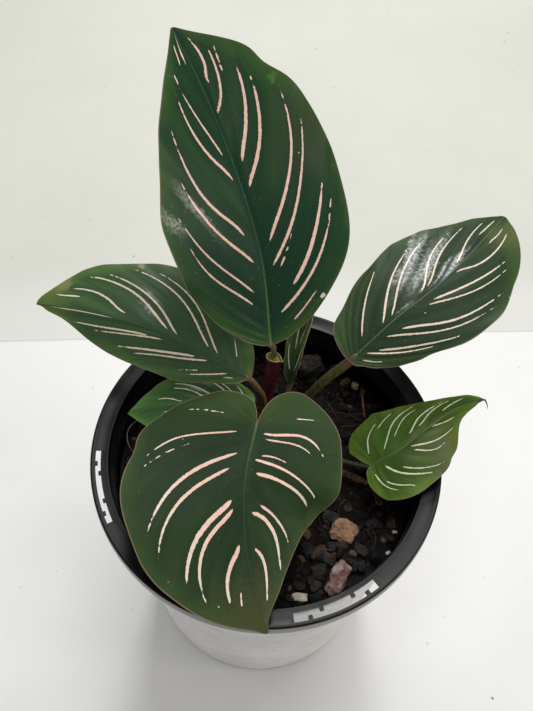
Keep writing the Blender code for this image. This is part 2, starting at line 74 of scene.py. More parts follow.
# The leaves lie on the same lines as the solids that they replace.
# midrib: points the midrib runs through, from the stalk to the tip
# turn: how far the blade is rolled about the midrib at its base, middle and tip
# fold: how far the left and right halves are raised from flat, negative is drooping
# curl: how much each half bends down toward its margin, in degrees per millimetre
# width: half widths; belly: above 1 moves the widest place toward the base
# neck: above 1 keeps the margin near the stalk narrow; lobes: how far each half reaches back past it
# taper: for each half, the share of its width lost toward the tip, and how late that happens
# wave: height and number of the waves along the margin
# stalk: points the stalk runs through from inside the potting mix; radius: of the stalk
# edge: for each half, how far the margin stands outside its smooth line at even places from base to tip
# nicks: small hollows in the margin, as half, place from base to tip, depth and reach
# quilt: how far the blade swells between its side veins
# tail: points of the drying thread at the tip
LEAVES = {
    "leaf_tall": {
        "midrib": ((-1, 43, 240), (-8, 69, 278), (-21, 91, 311), (-37, 110, 343), (-54, 125, 371)),
        "turn": (-9, -9, -2), "fold": (13, 10), "curl": (0.1, 0.1), "width": (50, 54),
        "belly": 1.0, "neck": 1.1, "lobes": (0, 0), "taper": ((0.8, 9), (0.8, 9)), "wave": (1.0, 3.0),
        "stalk": ((-2, 34.6, 152.5), (-2, 36, 177), (-1.7, 38.2, 194), (0.2, 43.2, 213), (0.6, 47.0, 229)),
        "radius": 1.5, "edge": ((0, -2, -0.5, 1.5, 3, -2, 0, -1, 0), (0, -3, -4, 0.5, 1, 0, 1, 0, 0)),
        "nicks": ((1, 0.705, 4.0, 0.035),), "quilt": 0.16,
    },
    "leaf_left": {
        "midrib": ((-11, 33, 222), (-38, 37, 238), (-66, 44, 247), (-96, 52, 247), (-129, 61, 240)),
        "turn": (8, 6, 4), "fold": (-40, 8), "curl": (0.3, 0.1), "width": (29, 40),
        "belly": 1.05, "neck": 1.0, "lobes": (0, 0), "taper": ((0.6, 4), (0.3, 5)), "wave": (1.2, 3.0),
        "stalk": ((-3, 29, 150), (-3, 30, 176), (-3, 32.5, 198), (-6, 32.6, 209)),
        "edge": ((0, -5.5, -8, -5.5, -6, -5.5, -6.5, -3.5, 0), (0, 0.5, 1, 0.5, -1, -4, -2, -2, 0)),
        "radius": 1.5, "nicks": (), "quilt": 0.22,
    },
    "leaf_right": {
        "midrib": ((41, 38, 236), (64, 58.5, 247.5), (87, 78.5, 253.5), (106, 100.5, 254.5), (121, 121, 253),
                   (129.3, 133, 250.5)),
        "turn": (-14, 6, 7), "fold": (-5, 0), "curl": (0.1, 0.3), "width": (36, 33),
        "belly": 0.95, "neck": 1.0, "lobes": (2, 2), "taper": ((0.5, 9), (0.5, 9)), "wave": (1.2, 2.5),
        "stalk": ((12, 31, 150), (13, 32, 176), (22, 37, 198), (31, 38, 217)),
        "radius": 2.3, "edge": ((0, 4, 0, 1.5, 4, 1.5, -3, -3, 0), (0, -4, -2, 2.5, 3.5, -1, -1.5, -2, 0)),
        "nicks": ((1, 0.35, 3.2, 0.045),), "quilt": 0.22,
    },
    "leaf_front": {
        "midrib": ((-6, 3, 228), (-10, -29, 232), (-9, -54, 226), (-4, -76, 215), (5, -98, 204)),
        "turn": (-7, 16, 18), "fold": (-10, -3), "curl": (0.1, 0.1), "width": (51, 59),
        "belly": 1.4, "neck": 1.5, "lobes": (30, 25), "taper": ((0.65, 2), (0.6, 9)), "wave": (1.0, 3.0),
        "stalk": ((0, 20, 150), (0, 21, 176), (1, 17, 200), (-1, 9, 219)),
        "radius": 1.7, "edge": ((0, -3, -5.5, -1, 2, -1, -2, -5, 0), (0, -5.5, -6, 2.5, 1, -2, -5, -4, 0)),
        "nicks": ((1, 0.46, 2.4, 0.02),), "quilt": 0.14,
    },
    "leaf_low_right": {
        "midrib": ((56, -5, 200), (71, 2, 207), (85, 13, 211), (101, 26, 211), (120, 37, 205)),
        "turn": (3, 8, -8), "fold": (-3, -3), "curl": (0.1, 0.1), "width": (28, 29),
        "belly": 2.2, "neck": 1.3, "lobes": (8, 6), "taper": ((0.7, 1.3), (0.7, 1.3)), "wave": (0.6, 2.5),
        "stalk": ((10, 17, 150), (11, 17, 176), (24, 8, 184), (42, 1, 190.5)),
        "edge": ((0, 1, -3.5, -2, 1.5, 1, -1.5, 0.5, 0), (0, -4, -6.5, -3.5, -0.5, 2, -4, -2.5, 0)),
        "radius": 1.1, "nicks": ((1, 0.63, 1.2, 0.02),), "quilt": 0.14,
        "tail": ((116.5, 34.4, 206.2), (120, 36.9, 204.8), (122, 36.6, 202.4), (123.6, 34.5, 198.8)),
    },
    "leaf_low_left": {
        "midrib": ((-9, 23, 206), (-26, 22, 212), (-43, 20, 214), (-61, 17, 212), (-77, 15, 206)),
        "turn": (0, 0, 0), "fold": (-4, -4), "curl": (0.2, 0.2), "width": (18, 19),
        "belly": 1.2, "neck": 1.1, "lobes": (4, 4), "taper": ((0.8, 9), (0.8, 9)), "wave": (0.6, 2.0),
        "stalk": ((-9, 22, 150), (-9, 23, 176), (-6, 24, 193)),
        "edge": ((0, 0), (0, 0)),
        "radius": 1.1, "nicks": (), "quilt": 0.12,
    },
    "leaf_narrow": {
        "midrib": ((11, 41, 203), (12, 44, 217), (14, 50, 232), (18, 60, 243), (22, 70, 250)),
        "turn": (0, 0, 0), "fold": (35, 50), "curl": (0.0, 0.0), "width": (7, 6.5),
        "belly": 1.0, "neck": 1.5, "lobes": (0, 0), "taper": ((0.6, 9), (0.6, 9)), "wave": (0.4, 2.0),
        "stalk": ((8, 39, 150), (8.3, 39.5, 177), (9.8, 40.3, 192)),
        "edge": ((0, 0), (0, 0)),
        "radius": 1.3, "nicks": (), "quilt": 0.08,
    },
}

# The pinstripes of each leaf, each one following the side veins.
# half, vein at its inner and outer end, bow between them, how far out it starts and ends, width, raggedness
STRIPES = {
    "leaf_tall": (
        (0, 0.52, 0.53, -0.025, 0.16, 0.80, 1.3, 0), (0, 0.57, 0.57, -0.02, 0.15, 0.89, 1.3, 0),
        (0, 0.665, 0.65, -0.025, 0.13, 0.86, 1.7, 0), (0, 0.71, 0.73, -0.045, 0.22, 0.92, 1.8, 0),
        (0, 0.81, 0.80, -0.025, 0.23, 0.91, 1.7, 0), (0, 0.83, 0.82, -0.005, 0.35, 0.90, 1.3, 0),
        (0, 0.875, 0.905, 0.0, 0.88, 0.96, 1.0, 0), (0, 0.915, 0.95, -0.01, 0.76, 0.85, 1.1, 0),
        (0, 0.825, 0.83, 0.0, 0.90, 0.94, 1.1, 0),
        (1, 0.895, 0.91, -0.025, 0.60, 0.94, 1.7, 0), (1, 0.895, 0.855, -0.02, 0.29, 0.96, 1.7, 0),
        (1, 0.825, 0.795, -0.015, 0.26, 0.93, 2.2, 0), (1, 0.80, 0.765, -0.02, 0.17, 0.89, 2.2, 0),
        (1, 0.695, 0.68, -0.025, 0.16, 0.93, 2.0, 0), (1, 0.65, 0.63, -0.015, 0.11, 0.90, 1.8, 0),
        (1, 0.53, 0.535, 0.0, 0.26, 0.81, 2.2, 0), (1, 0.475, 0.48, 0.0, 0.12, 0.76, 1.7, 0),
        (1, 0.35, 0.39, 0.005, 0.28, 0.52, 1.1, 0), (1, 0.62, 0.625, 0.0, 0.18, 0.38, 1.1, 1),
        (1, 0.484, 0.489, 0.0, 0.72, 0.82, 1.1, 1), (1, 0.831, 0.832, 0.0, 0.82, 0.95, 1.2, 1),
    ),
    "leaf_left": (
        (0, 0.89, 0.91, 0.005, 0.05, 0.77, 1.0, 0), (0, 0.735, 0.755, -0.01, 0.37, 0.95, 1.2, 0),
        (0, 0.725, 0.715, -0.005, 0.26, 0.87, 1.1, 0), (0, 0.63, 0.64, -0.005, 0.19, 0.85, 1.6, 0),
        (0, 0.595, 0.60, 0.0, 0.13, 0.86, 1.2, 0), (0, 0.445, 0.445, 0.005, 0.18, 0.68, 1.0, 0),
        (0, 0.495, 0.485, 0.005, 0.42, 0.66, 0.8, 1), (0, 0.36, 0.385, 0.005, 0.24, 0.34, 0.8, 0),
        (1, 0.825, 0.85, -0.035, 0.29, 0.91, 1.3, 0), (1, 0.745, 0.765, -0.04, 0.16, 0.94, 1.5, 0),
        (1, 0.725, 0.71, -0.03, 0.13, 0.90, 1.4, 0), (1, 0.615, 0.62, -0.035, 0.13, 0.94, 1.4, 0),
        (1, 0.58, 0.57, -0.03, 0.09, 0.91, 1.2, 0), (1, 0.86, 0.89, 0.005, 0.70, 0.89, 1.0, 0),
        (1, 0.435, 0.40, 0.0, 0.16, 0.42, 0.9, 0),
    ),
    "leaf_right": (
        (0, 0.47, 0.45, 0.005, 0.12, 0.81, 1.1, 0), (0, 0.61, 0.605, -0.035, 0.07, 0.88, 1.4, 0),
        (0, 0.65, 0.665, -0.045, 0.08, 0.91, 1.3, 0), (0, 0.745, 0.73, -0.03, 0.16, 0.91, 1.3, 0),
        (0, 0.76, 0.78, -0.035, 0.19, 0.93, 1.3, 0), (0, 0.845, 0.86, -0.025, 0.25, 0.94, 1.2, 0),
        (0, 0.875, 0.915, 0.0, 0.66, 0.89, 0.9, 0),
        (1, 0.87, 0.895, -0.01, 0.62, 0.87, 0.9, 0), (1, 0.835, 0.845, -0.045, 0.17, 0.91, 1.4, 0),
        (1, 0.735, 0.735, -0.01, 0.23, 0.88, 1.5, 0), (1, 0.71, 0.70, -0.025, 0.24, 0.90, 1.1, 0),
        (1, 0.60, 0.60, -0.025, 0.21, 0.92, 1.5, 0), (1, 0.565, 0.56, -0.02, 0.12, 0.91, 1.2, 0),
        (1, 0.46, 0.485, -0.005, 0.18, 0.85, 1.2, 0), (1, 0.425, 0.45, -0.015, 0.09, 0.72, 1.0, 0),
        (1, 0.305, 0.31, -0.01, 0.17, 0.51, 0.8, 0),
    ),
    "leaf_front": (
        (0, 0.435, 0.42, -0.045, 0.09, 0.79, 1.7, 0), (0, 0.47, 0.43, -0.025, 0.12, 0.65, 1.2, 0),
        (0, 0.575, 0.50, -0.01, 0.15, 0.41, 1.2, 0), (0, 0.62, 0.535, -0.05, 0.09, 0.85, 1.9, 0),
        (0, 0.66, 0.58, -0.045, 0.16, 0.89, 2.4, 0), (0, 0.715, 0.69, -0.02, 0.37, 0.91, 1.6, 0),
        (0, 0.765, 0.755, -0.045, 0.25, 0.94, 2.3, 0), (0, 0.815, 0.85, -0.035, 0.46, 0.91, 1.8, 0),
        (0, 0.30, 0.325, 0.0, 0.52, 0.80, 1.0, 1),
        (1, 0.435, 0.48, -0.02, 0.15, 0.86, 1.6, 0), (1, 0.60, 0.62, -0.015, 0.11, 0.89, 2.0, 0),
        (1, 0.655, 0.665, -0.02, 0.17, 0.90, 1.8, 0), (1, 0.75, 0.735, -0.015, 0.18, 0.88, 2.6, 0),
        (1, 0.77, 0.785, -0.03, 0.18, 0.91, 2.1, 0), (1, 0.845, 0.845, -0.015, 0.21, 0.84, 2.3, 0),
        (1, 0.29, 0.335, -0.005, 0.50, 0.87, 1.0, 1), (1, 0.48, 0.50, 0.0, 0.52, 0.88, 1.0, 1),
        (1, 0.872, 0.872, 0.0, 0.64, 0.82, 1.1, 1),
    ),
    "leaf_low_right": (
        (0, 0.37, 0.52, -0.035, 0.27, 0.81, 0.9, 0), (0, 0.50, 0.605, 0.005, 0.65, 0.93, 0.7, 0),
        (0, 0.535, 0.675, -0.02, 0.17, 0.95, 1.0, 0), (0, 0.615, 0.70, -0.015, 0.37, 0.91, 0.7, 0),
        (0, 0.70, 0.77, -0.03, 0.27, 0.88, 1.0, 0), (0, 0.735, 0.805, -0.025, 0.38, 0.87, 0.8, 0),
        (0, 0.83, 0.865, 0.0, 0.46, 0.86, 0.7, 0),
        (1, 0.80, 0.795, -0.015, 0.19, 0.80, 1.0, 0), (1, 0.685, 0.73, -0.015, 0.15, 0.89, 1.0, 0),
        (1, 0.665, 0.685, -0.015, 0.28, 0.80, 0.9, 0), (1, 0.56, 0.615, -0.005, 0.37, 0.91, 0.8, 0),
        (1, 0.485, 0.575, 0.005, 0.16, 0.90, 1.1, 0), (1, 0.41, 0.50, 0.015, 0.50, 0.84, 0.8, 0),
        (1, 0.305, 0.45, -0.02, 0.33, 0.77, 0.9, 0),
    ),
    "leaf_low_left": (
        (0, 0.82, 0.82, -0.02, 0.10, 0.60, 0.9, 0), (0, 0.56, 0.56, -0.02, 0.15, 0.70, 1.0, 0),
        (0, 0.50, 0.50, -0.02, 0.15, 0.70, 0.9, 0), (0, 0.72, 0.72, -0.02, 0.15, 0.70, 1.0, 0),
        (1, 0.83, 0.83, -0.02, 0.15, 0.75, 1.0, 0), (1, 0.72, 0.72, -0.02, 0.15, 0.80, 1.1, 0),
        (1, 0.67, 0.67, -0.02, 0.15, 0.85, 1.1, 0), (1, 0.54, 0.54, -0.02, 0.15, 0.85, 1.1, 0),
        (1, 0.49, 0.49, -0.02, 0.15, 0.80, 1.0, 0), (1, 0.37, 0.37, -0.02, 0.15, 0.80, 1.0, 0),
    ),
    "leaf_narrow": (
        (0, 0.56, 0.60, -0.02, 0.25, 0.80, 0.9, 0), (0, 0.76, 0.80, -0.02, 0.25, 0.80, 0.8, 0),
        (1, 0.56, 0.62, -0.02, 0.25, 0.85, 0.9, 0), (1, 0.78, 0.82, -0.02, 0.25, 0.80, 0.8, 0),
    ),
}

# pink: how pink the stripes are rather than cream; fade: how much of it their outer ends lose
# lean: for each half, how near the margin its stripes bend
# youth: how yellow the green is; olive: how brown it is; light: how bright it is
# gloss: how strongly the whole blade shines; dull: its roughness; coat: strength of the shining bands
# margin: width of the line along it; rib: half width and colours of the midrib, at its base and tip
# stem and joint: colours of the stalk
TINTS = {
    "leaf_tall": {
        "pink": 1.0, "fade": 0.15, "lean": (2.0, 2.0), "youth": 0.0, "olive": 0.0, "light": 1.05,
        "gloss": 0.15, "dull": 0.38, "coat": 0.9, "margin": 0.35,
        "rib": (0.85, (0.085, 0.19, 0.030), (0.035, 0.075, 0.045)),
        "stem": (0.24, 0.16, 0.13), "joint": (0.24, 0.16, 0.13),
    },
    "leaf_left": {
        "pink": 0.45, "fade": 0.7, "lean": (2.0, 2.0), "youth": 0.12, "olive": 0.3, "light": 1.85,
        "gloss": 0.2, "dull": 0.36, "coat": 1.0, "margin": 0.4,
        "rib": (0.65, (0.060, 0.11, 0.035), (0.035, 0.07, 0.035)),
        "stem": (0.20, 0.13, 0.06), "joint": (0.20, 0.125, 0.055),
    },
    "leaf_right": {
        "pink": 0.40, "fade": 0.7, "lean": (2.0, 2.0), "youth": 0.0, "olive": 0.4, "light": 0.95,
        "gloss": 0.08, "dull": 0.40, "coat": 1.0, "margin": 0.35,
        "rib": (0.45, (0.07, 0.12, 0.05), (0.12, 0.16, 0.10)),
        "stem": (0.115, 0.105, 0.030), "joint": (0.13, 0.055, 0.035),
    },
    "leaf_front": {
        "pink": 0.95, "fade": 0.8, "lean": (1.3, 2.0), "youth": 0.04, "olive": 0.4, "light": 0.88,
        "gloss": 0.06, "dull": 0.42, "coat": 0.0, "margin": 0.6,
        "rib": (0.8, (0.070, 0.14, 0.035), (0.030, 0.055, 0.028)),
        "stem": (0.20, 0.12, 0.05), "joint": (0.17, 0.10, 0.05),
    },
    "leaf_low_right": {
        "pink": 0.0, "fade": 0.0, "lean": (2.0, 2.0), "youth": 1.0, "olive": 0.12, "light": 1.25,
        "gloss": 0.2, "dull": 0.34, "coat": 0.0, "margin": 0.1,
        "rib": (0.7, (0.055, 0.10, 0.030), (0.10, 0.15, 0.050)),
        "stem": (0.07, 0.10, 0.03), "joint": (0.14, 0.11, 0.04),
    },
    "leaf_low_left": {
        "pink": 0.0, "fade": 0.0, "lean": (2.0, 2.0), "youth": 0.3, "olive": 0.0, "light": 2.1,
        "gloss": 0.3, "dull": 0.3, "coat": 0.0, "margin": 0.1,
        "rib": (0.6, (0.11, 0.19, 0.030), (0.09, 0.16, 0.025)),
        "stem": (0.12, 0.09, 0.04), "joint": (0.10, 0.10, 0.04),
    },
    "leaf_narrow": {
        "pink": 0.2, "fade": 0.0, "lean": (2.0, 2.0), "youth": 0.4, "olive": 0.2, "light": 1.6,
        "gloss": 0.3, "dull": 0.3, "coat": 0.0, "margin": 0.4,
        "rib": (0.5, (0.13, 0.19, 0.07), (0.13, 0.19, 0.07)),
        "stem": (0.30, 0.23, 0.12), "joint": (0.26, 0.22, 0.11),
    },
}

# How wide a stripe is along itself, and the widest half that a stripe's ramp can hold
STRIPE_TAPER = ((0.0, 0.0), (0.02, 0.5), (0.08, 0.92), (0.2, 1.0), (0.45, 0.95), (0.7, 0.82), (0.9, 0.62),
                (0.97, 0.5), (1.0, 0.0))
WIDEST_HALF = 4.0

# Where a blade shines most: half, vein, half width, and from where to where along the vein
SHEENS = {
    "leaf_tall": ((0, 0.625, 3.0, 0.45, 0.85), (0, 0.54, 4.5, 0.80, 1.0), (1, 0.835, 3.5, 0.25, 0.65),
                  (1, 0.79, 3.0, 0.80, 1.0)),
    "leaf_left": ((1, 0.705, 5.0, 0.05, 0.85),),
    "leaf_right": ((0, 0.635, 5.5, 0.25, 0.95), (0, 0.705, 5.0, 0.05, 0.95), (0, 0.815, 4.5, 0.05, 0.45)),
}
SHEEN_ROUGHNESS = 0.22

# Chips, scars and discoloured patches: place, sharp and soft radius, strength and colour
SPOTS = {
    "leaf_tall": (((24.6, 63.1, 258.7), 1.0, 1.3, 1.0, (0.75, 0.72, 0.60)),
                  ((27.4, 62.3, 257.5), 0.9, 1.2, 1.0, (0.75, 0.72, 0.60)),
                  ((-8.5, 131.9, 340.8), 1.5, 3.6, 0.6, (0.07, 0.20, 0.02)),
                  ((-56, 126, 372.5), 1.5, 4.0, 0.9, (0.035, 0.025, 0.012)),
                  ((14.8, 119.6, 320.1), 6.0, 30.0, 0.6, (0.026, 0.040, 0.011))),
    "leaf_left": (((-115.9, 71.6, 245.1), 2.0, 7.0, 0.7, (0.30, 0.25, 0.12)),
                  ((-72.8, 79.4, 254.9), 1.0, 2.6, 0.8, (0.32, 0.28, 0.12)),
                  ((-126, 62, 241), 3.0, 22.0, 0.7, (0.10, 0.145, 0.030))),
    "leaf_right": (((128, 116, 251), 3.0, 18.0, 0.6, (0.11, 0.14, 0.045)),),
    "leaf_front": (((-42.9, -82.7, 225.9), 0.5, 0.9, 0.8, (0.35, 0.27, 0.12)),
                   ((3, -100, 206), 10.0, 38.0, 0.75, (0.062, 0.064, 0.026))),
    "leaf_low_right": (((100.7, 8.0, 212.1), 1.5, 8.0, 0.7, (0.12, 0.13, 0.012)),
                       ((92.4, -9.9, 210.4), 0.8, 3.0, 0.8, (0.09, 0.06, 0.03)),
                       ((96, -4, 211), 4.0, 22.0, 0.6, (0.060, 0.060, 0.012)),
                       ((62, 12, 208), 3.0, 20.0, 0.5, (0.050, 0.15, 0.022))),
}

# How the side veins run, how a blade's rows and columns close up, and the midrib's channel
VEIN_SWEEP = 3.5
VEIN_BOW = 0.4
ROW_SPACING = 0.7
COLUMN_SPACING = 1.4
CHANNEL_DEPTH = 0.5
CHANNEL_WIDTH = 1.5
MARGIN_PLACES = 1600

# The pot
POT_HEIGHT = 200.0
RIM_RADIUS = 95.0
BASE_RADIUS = 71.0
WALL = 1.6
FLANGE_WIDTH = 10.0
FLANGE_THICKNESS = 1.6
SKIRT_DEPTH = 9.0
SKIRT_THICKNESS = 1.3
FLOOR_THICKNESS = 2.0
STEP_HEIGHT = 11.0
STEP_WIDTH = 0.8
POT_SIDES = 192
# The fine ridges inside the wall: how far below the rim they start, how far apart, and their size
RIDGE_TOP = 4.0
RIDGE_SPACING = 2.6
RIDGE_DEPTH = 0.45
RIDGE_HALF = 0.7
# The label slots through the rim, each between two angles and two radii seen from above
SLOTS = ((-177.0, -150.0, 89.4, 92.3), (-79.0, -50.0, 87.7, 92.7))
TOOTH_WIDTH = 2.2
TOOTH_REACH = 0.45
# How far along a slot each tooth stands, and whether it stands on the inner side
TEETH = ((0.18, False), (0.32, True), (0.70, True), (0.86, False))
HOLE_COUNT = 8
HOLE_RING = 54.0
HOLE_RADIUS = 5.0

# The potting mix
SOIL_TOP = 176.0
SOIL_LUMP = 2.0
SOIL_LUMP_SIZE = 11.0
SOIL_RADIUS = 82.0
SOIL_CELLS = 150
# The low heap round the feet of the stalks
HEAP_PLACE = (2, 28)
HEAP_HEIGHT = 2.0
HEAP_SPREAD = 30.0

# The sheath, with its radius at each point
SHEATH_PATH = ((-2, 34.5, 152), (-2, 36, 177), (-2, 38, 193), (0, 40, 211), (1, 42, 229))
SHEATH_RADII = (3.3, 3.3, 3.6, 3.9, 4.1)
# An inset wider than the sheath, which draws a ring in to a point
SHEATH_CLOSED = 9.0
# Rings that turn the sheath's mouth in over its green inside: rise and inset from the outer edge
SHEATH_MOUTH = ((0.25, 0.05), (0.40, 0.22), (0.36, 0.45), (0.05, 0.65), (-0.4, 0.80), (-0.8, 1.4),
                (-1.0, 2.4), (-1.05, SHEATH_CLOSED))
# The free edge: where it stands round the tube, how far out, and the share of a turn that it takes
SHEATH_EDGE_TURN = 140.0
SHEATH_EDGE_HEIGHT = 0.5
SHEATH_EDGE_SHARE = 0.05
# The small nib at the mouth: its place round the tube, its width there and how far out it stands
NIB_PLACE = 0.19
NIB_WIDTH = 0.035
NIB_REACH = 1.6
# How much higher the mouth is on one side, and on which
MOUTH_SLANT = 1.2
MOUTH_SLANT_TURN = 290.0

# The old stem, the twig and the root, as points to run through and a radius at each
OLD_STEM_PATH = ((31, 5, 168), (37, 2, 178), (43, -1, 180.5), (50, -4, 181), (57, -6.5, 180))
OLD_STEM_RADII = (1.5, 1.9, 1.6, 2.0, 1.4)
TWIG_PATH = ((55, 57, 175.6), (55.4, 52, 176.8), (56, 44, 176.6), (57, 34, 175.2))
TWIG_RADII = (0.7, 0.6, 0.7, 0.5)
ROOT_PATH = ((-74, 4, 174), (-79, 10, 179), (-80, 18, 180), (-76, 25, 179), (-70, 30, 174))
ROOT_RADII = (0.25, 0.4, 0.35, 0.35, 0.2)

# Bark and wood pieces: place, half sizes and turn about Z, then three colours from deep to worn
CHIPS = {
    "bark_lump": ((24, 67, 181), (7.5, 6.5, 7.0), 20),
    "bark_chip_tan": ((44, -34, 177.5), (7.3, 6.6, 2.8), -25),
    "bark_chip_brown": ((41, -61, 177.5), (5.0, 9.2, 3.0), -24),
    "bark_chip_cream": ((21, -72, 177.5), (4.0, 2.4, 1.8), 5),
    "bark_chip_small": ((30, -47, 177.2), (5.0, 2.6, 2.0), 40),
}
CHIP_COLOURS = {
    "bark_lump": ((0.010, 0.008, 0.007), (0.022, 0.018, 0.016), (0.045, 0.037, 0.032)),
    "bark_chip_tan": ((0.13, 0.060, 0.032), (0.30, 0.165, 0.095), (0.42, 0.27, 0.18)),
    "bark_chip_brown": ((0.075, 0.036, 0.028), (0.21, 0.125, 0.105), (0.42, 0.31, 0.29)),
    "bark_chip_cream": ((0.34, 0.28, 0.20), (0.52, 0.46, 0.36), (0.62, 0.57, 0.48)),
    "bark_chip_small": ((0.025, 0.013, 0.008), (0.070, 0.036, 0.022), (0.12, 0.07, 0.045)),
}
# Dark bark in the mix: place seen from above, half sizes and turn about Z
DARK_BITS = (
    (31, -57, 4.2, 3.6, 2.6, 15), (35, -50, 5.4, 3.2, 2.8, -20), (25, -46, 3.4, 4.4, 2.6, 30),
    (41, -43, 6.2, 3.0, 2.6, 10), (37, -27, 5.0, 3.4, 2.8, -15), (60, -29, 4.6, 3.0, 2.4, 40),
    (54, -45, 3.8, 2.8, 2.2, -30), (21, -66, 3.0, 2.2, 1.8, 0), (29, -66, 3.2, 2.4, 2.0, 50),
    (55, 5, 5.0, 3.8, 2.6, 20), (60, 28, 4.4, 3.4, 2.6, -40), (40, 68, 4.6, 3.6, 2.8, 10),
)
# Tones of the loose crumbs, each at its place on the ramp
CRUMB_TONES = (
    (0.0, (0.002, 0.002, 0.002)), (0.45, (0.007, 0.006, 0.006)), (0.62, (0.022, 0.024, 0.027)),
    (0.74, (0.012, 0.008, 0.007)), (0.88, (0.034, 0.018, 0.012)), (1.0, (0.12, 0.075, 0.048)),
)
PRILL_PLACE = (51, 57, 178)
PRILL_RADIUS = 2.2
PALE_SPECKS = ((72, -33), (68, -45), (-26, 36), (77, 20))

# The camera, with its roll to the right
CAMERA_PLACE = (-3.1, -203.4, 617.0)
CAMERA_PITCH = 57.6
CAMERA_ROLL = 3.2
CAMERA_LENS = 57.41

# Where the lights aim, in metres
PLANT_MIDDLE = (0.0, 0.03, 0.2)


class Socket:
    """One value in a material's nodes, so that shader maths reads as an ordinary sum."""

    def __init__(self, paint, link):
        self.paint = paint
        self.link = link

    def __add__(self, other):
        return self.paint.maths("ADD", self, other)

    def __radd__(self, other):
        return self.paint.maths("ADD", other, self)

    def __sub__(self, other):
        return self.paint.maths("SUBTRACT", self, other)

    def __rsub__(self, other):
        return self.paint.maths("SUBTRACT", other, self)

    def __mul__(self, other):
        return self.paint.maths("MULTIPLY", self, other)

    def __rmul__(self, other):
        return self.paint.maths("MULTIPLY", other, self)

    def __truediv__(self, other):
        return self.paint.maths("DIVIDE", self, other)

    def __pow__(self, other):
        return self.paint.maths("POWER", self, other)

    def __abs__(self):
        return self.paint.maths("ABSOLUTE", self)


class Paint:
    """A material under construction."""

    def __init__(self, name, **constants):
        self.material = bpy.data.materials.new(name)
        self.material.use_nodes = True
        self.tree = self.material.node_tree
        self.shader = self.tree.nodes["Principled BSDF"]
        for socket, value in constants.items():
            self.shader.inputs[socket.replace("_", " ").title().replace("Ior", "IOR")].default_value = value

    def node(self, kind, settings=None, inputs=None, output=0):
        """Add a node: its settings first, then the values or links of its sockets."""
        made = self.tree.nodes.new(kind)
        for key, value in (settings or {}).items():
            if key == "stops":
                self.set_stops(made.color_ramp, value)
            else:
                setattr(made, key, value)
        for key, value in (inputs or {}).items():
            if isinstance(value, Socket):
                self.tree.links.new(value.link, made.inputs[key])
            else:
                made.inputs[key].default_value = value
        return Socket(self, made.outputs[output])

    @staticmethod
    def set_stops(ramp, stops):
        """Give a colour ramp its places and colours."""
        while len(ramp.elements) < len(stops):
            ramp.elements.new(1.0)
        for element, (place, colour) in zip(ramp.elements, stops):
            element.position = place
            element.color = (*colour, 1.0) if hasattr(colour, "__len__") else (colour, colour, colour, 1.0)

    def maths(self, operation, *values):
        """A Math node on numbers and links."""
        return self.node("ShaderNodeMath", {"operation": operation}, dict(enumerate(values)))

    def larger(self, a, b):
        """The larger of two values."""
        return self.maths("MAXIMUM", a, b)

    def rise(self, value, low, high, start=0.0, end=1.0):
        """Go smoothly from start to end while a value goes from low to high."""
        settings = {"interpolation_type": "SMOOTHSTEP"}
        return self.node("ShaderNodeMapRange", settings, {0: value, 1: low, 2: high, 3: start, 4: end})

    def ramp(self, value, *stops):
        """Read a colour, or a grey number, from a ramp."""
        return self.node("ShaderNodeValToRGB", {"stops": stops}, {0: value})

    def mix(self, share, a, b, blend="MIX"):
        """Mix two colours."""
        a, b = [value if isinstance(value, Socket) else (*value, 1.0) for value in (a, b)]
        settings = {"data_type": "RGBA", "blend_type": blend}
        return self.node("ShaderNodeMix", settings, {0: share, 6: a, 7: b}, 2)

    def place(self):
        """Where a point is in the model's own frame."""
        return self.node("ShaderNodeTexCoord", output=3)

    def part(self, vector, axis):
        """One part of a vector."""
        return self.node("ShaderNodeSeparateXYZ", inputs={0: vector}, output=axis)

    def distance(self, place, point):
        """How far a place is from a point."""
        return self.node("ShaderNodeVectorMath", {"operation": "DISTANCE"}, {0: place, 1: point}, 1)

    def attribute(self, name):
        """A number kept on the mesh."""
        return self.node("ShaderNodeAttribute", {"attribute_name": name}, output=2)

    def map(self, name):
        """The two directions of a UV map."""
        flat = self.node("ShaderNodeUVMap", {"uv_map": name})
        first = self.node("ShaderNodeSeparateXYZ", inputs={0: flat})
        return first, Socket(self, first.link.node.outputs[1])

    def noise(self, place, scale, detail=2.0, roughness=0.5, output=0):
        """Cloudy noise from 0 to 1."""
        inputs = {"Vector": place, "Scale": scale, "Detail": detail, "Roughness": roughness}
        return self.node("ShaderNodeTexNoise", inputs=inputs, output=output)

    def dots(self, place, scale, size):
        """Sparse round dots: 1 inside each and 0 elsewhere."""
        distance = self.node("ShaderNodeTexVoronoi", inputs={"Vector": place, "Scale": scale})
        return self.rise(distance, size * 0.7, size, 1.0, 0.0)

    def vector(self, x, y, z=0.0):
        """A vector of three values."""
        return self.node("ShaderNodeCombineXYZ", inputs={0: x, 1: y, 2: z})

    def stretch(self, place, scale):
        """A place stretched along the axes."""
        return self.node("ShaderNodeVectorMath", {"operation": "MULTIPLY"}, {0: place, 1: scale})

    def bump(self, height, distance, under=None):
        """Raise the surface by a height from 0 to 1, over another bump if there is one."""
        inputs = {"Height": height, "Distance": distance * MM}
        if under:
            inputs["Normal"] = under
        return self.node("ShaderNodeBump", inputs=inputs)

    def finish(self, **values):
        """Give the shader what varies over the surface."""
        for name, value in values.items():
            socket = self.shader.inputs[name.replace("_", " ").title()]
            if isinstance(value, Socket):
                self.tree.links.new(value.link, socket)
            else:
                socket.default_value = value
        return self.material


def deselect():
    """Leave edit mode and select nothing."""
    if bpy.context.object and bpy.context.object.mode != "OBJECT":
        bpy.ops.object.mode_set(mode="OBJECT")
    bpy.ops.object.select_all(action="DESELECT")


def activate(thing):
    """Make one object the only selected and active one."""
    deselect()
    thing.select_set(True)
    bpy.context.view_layer.objects.active = thing


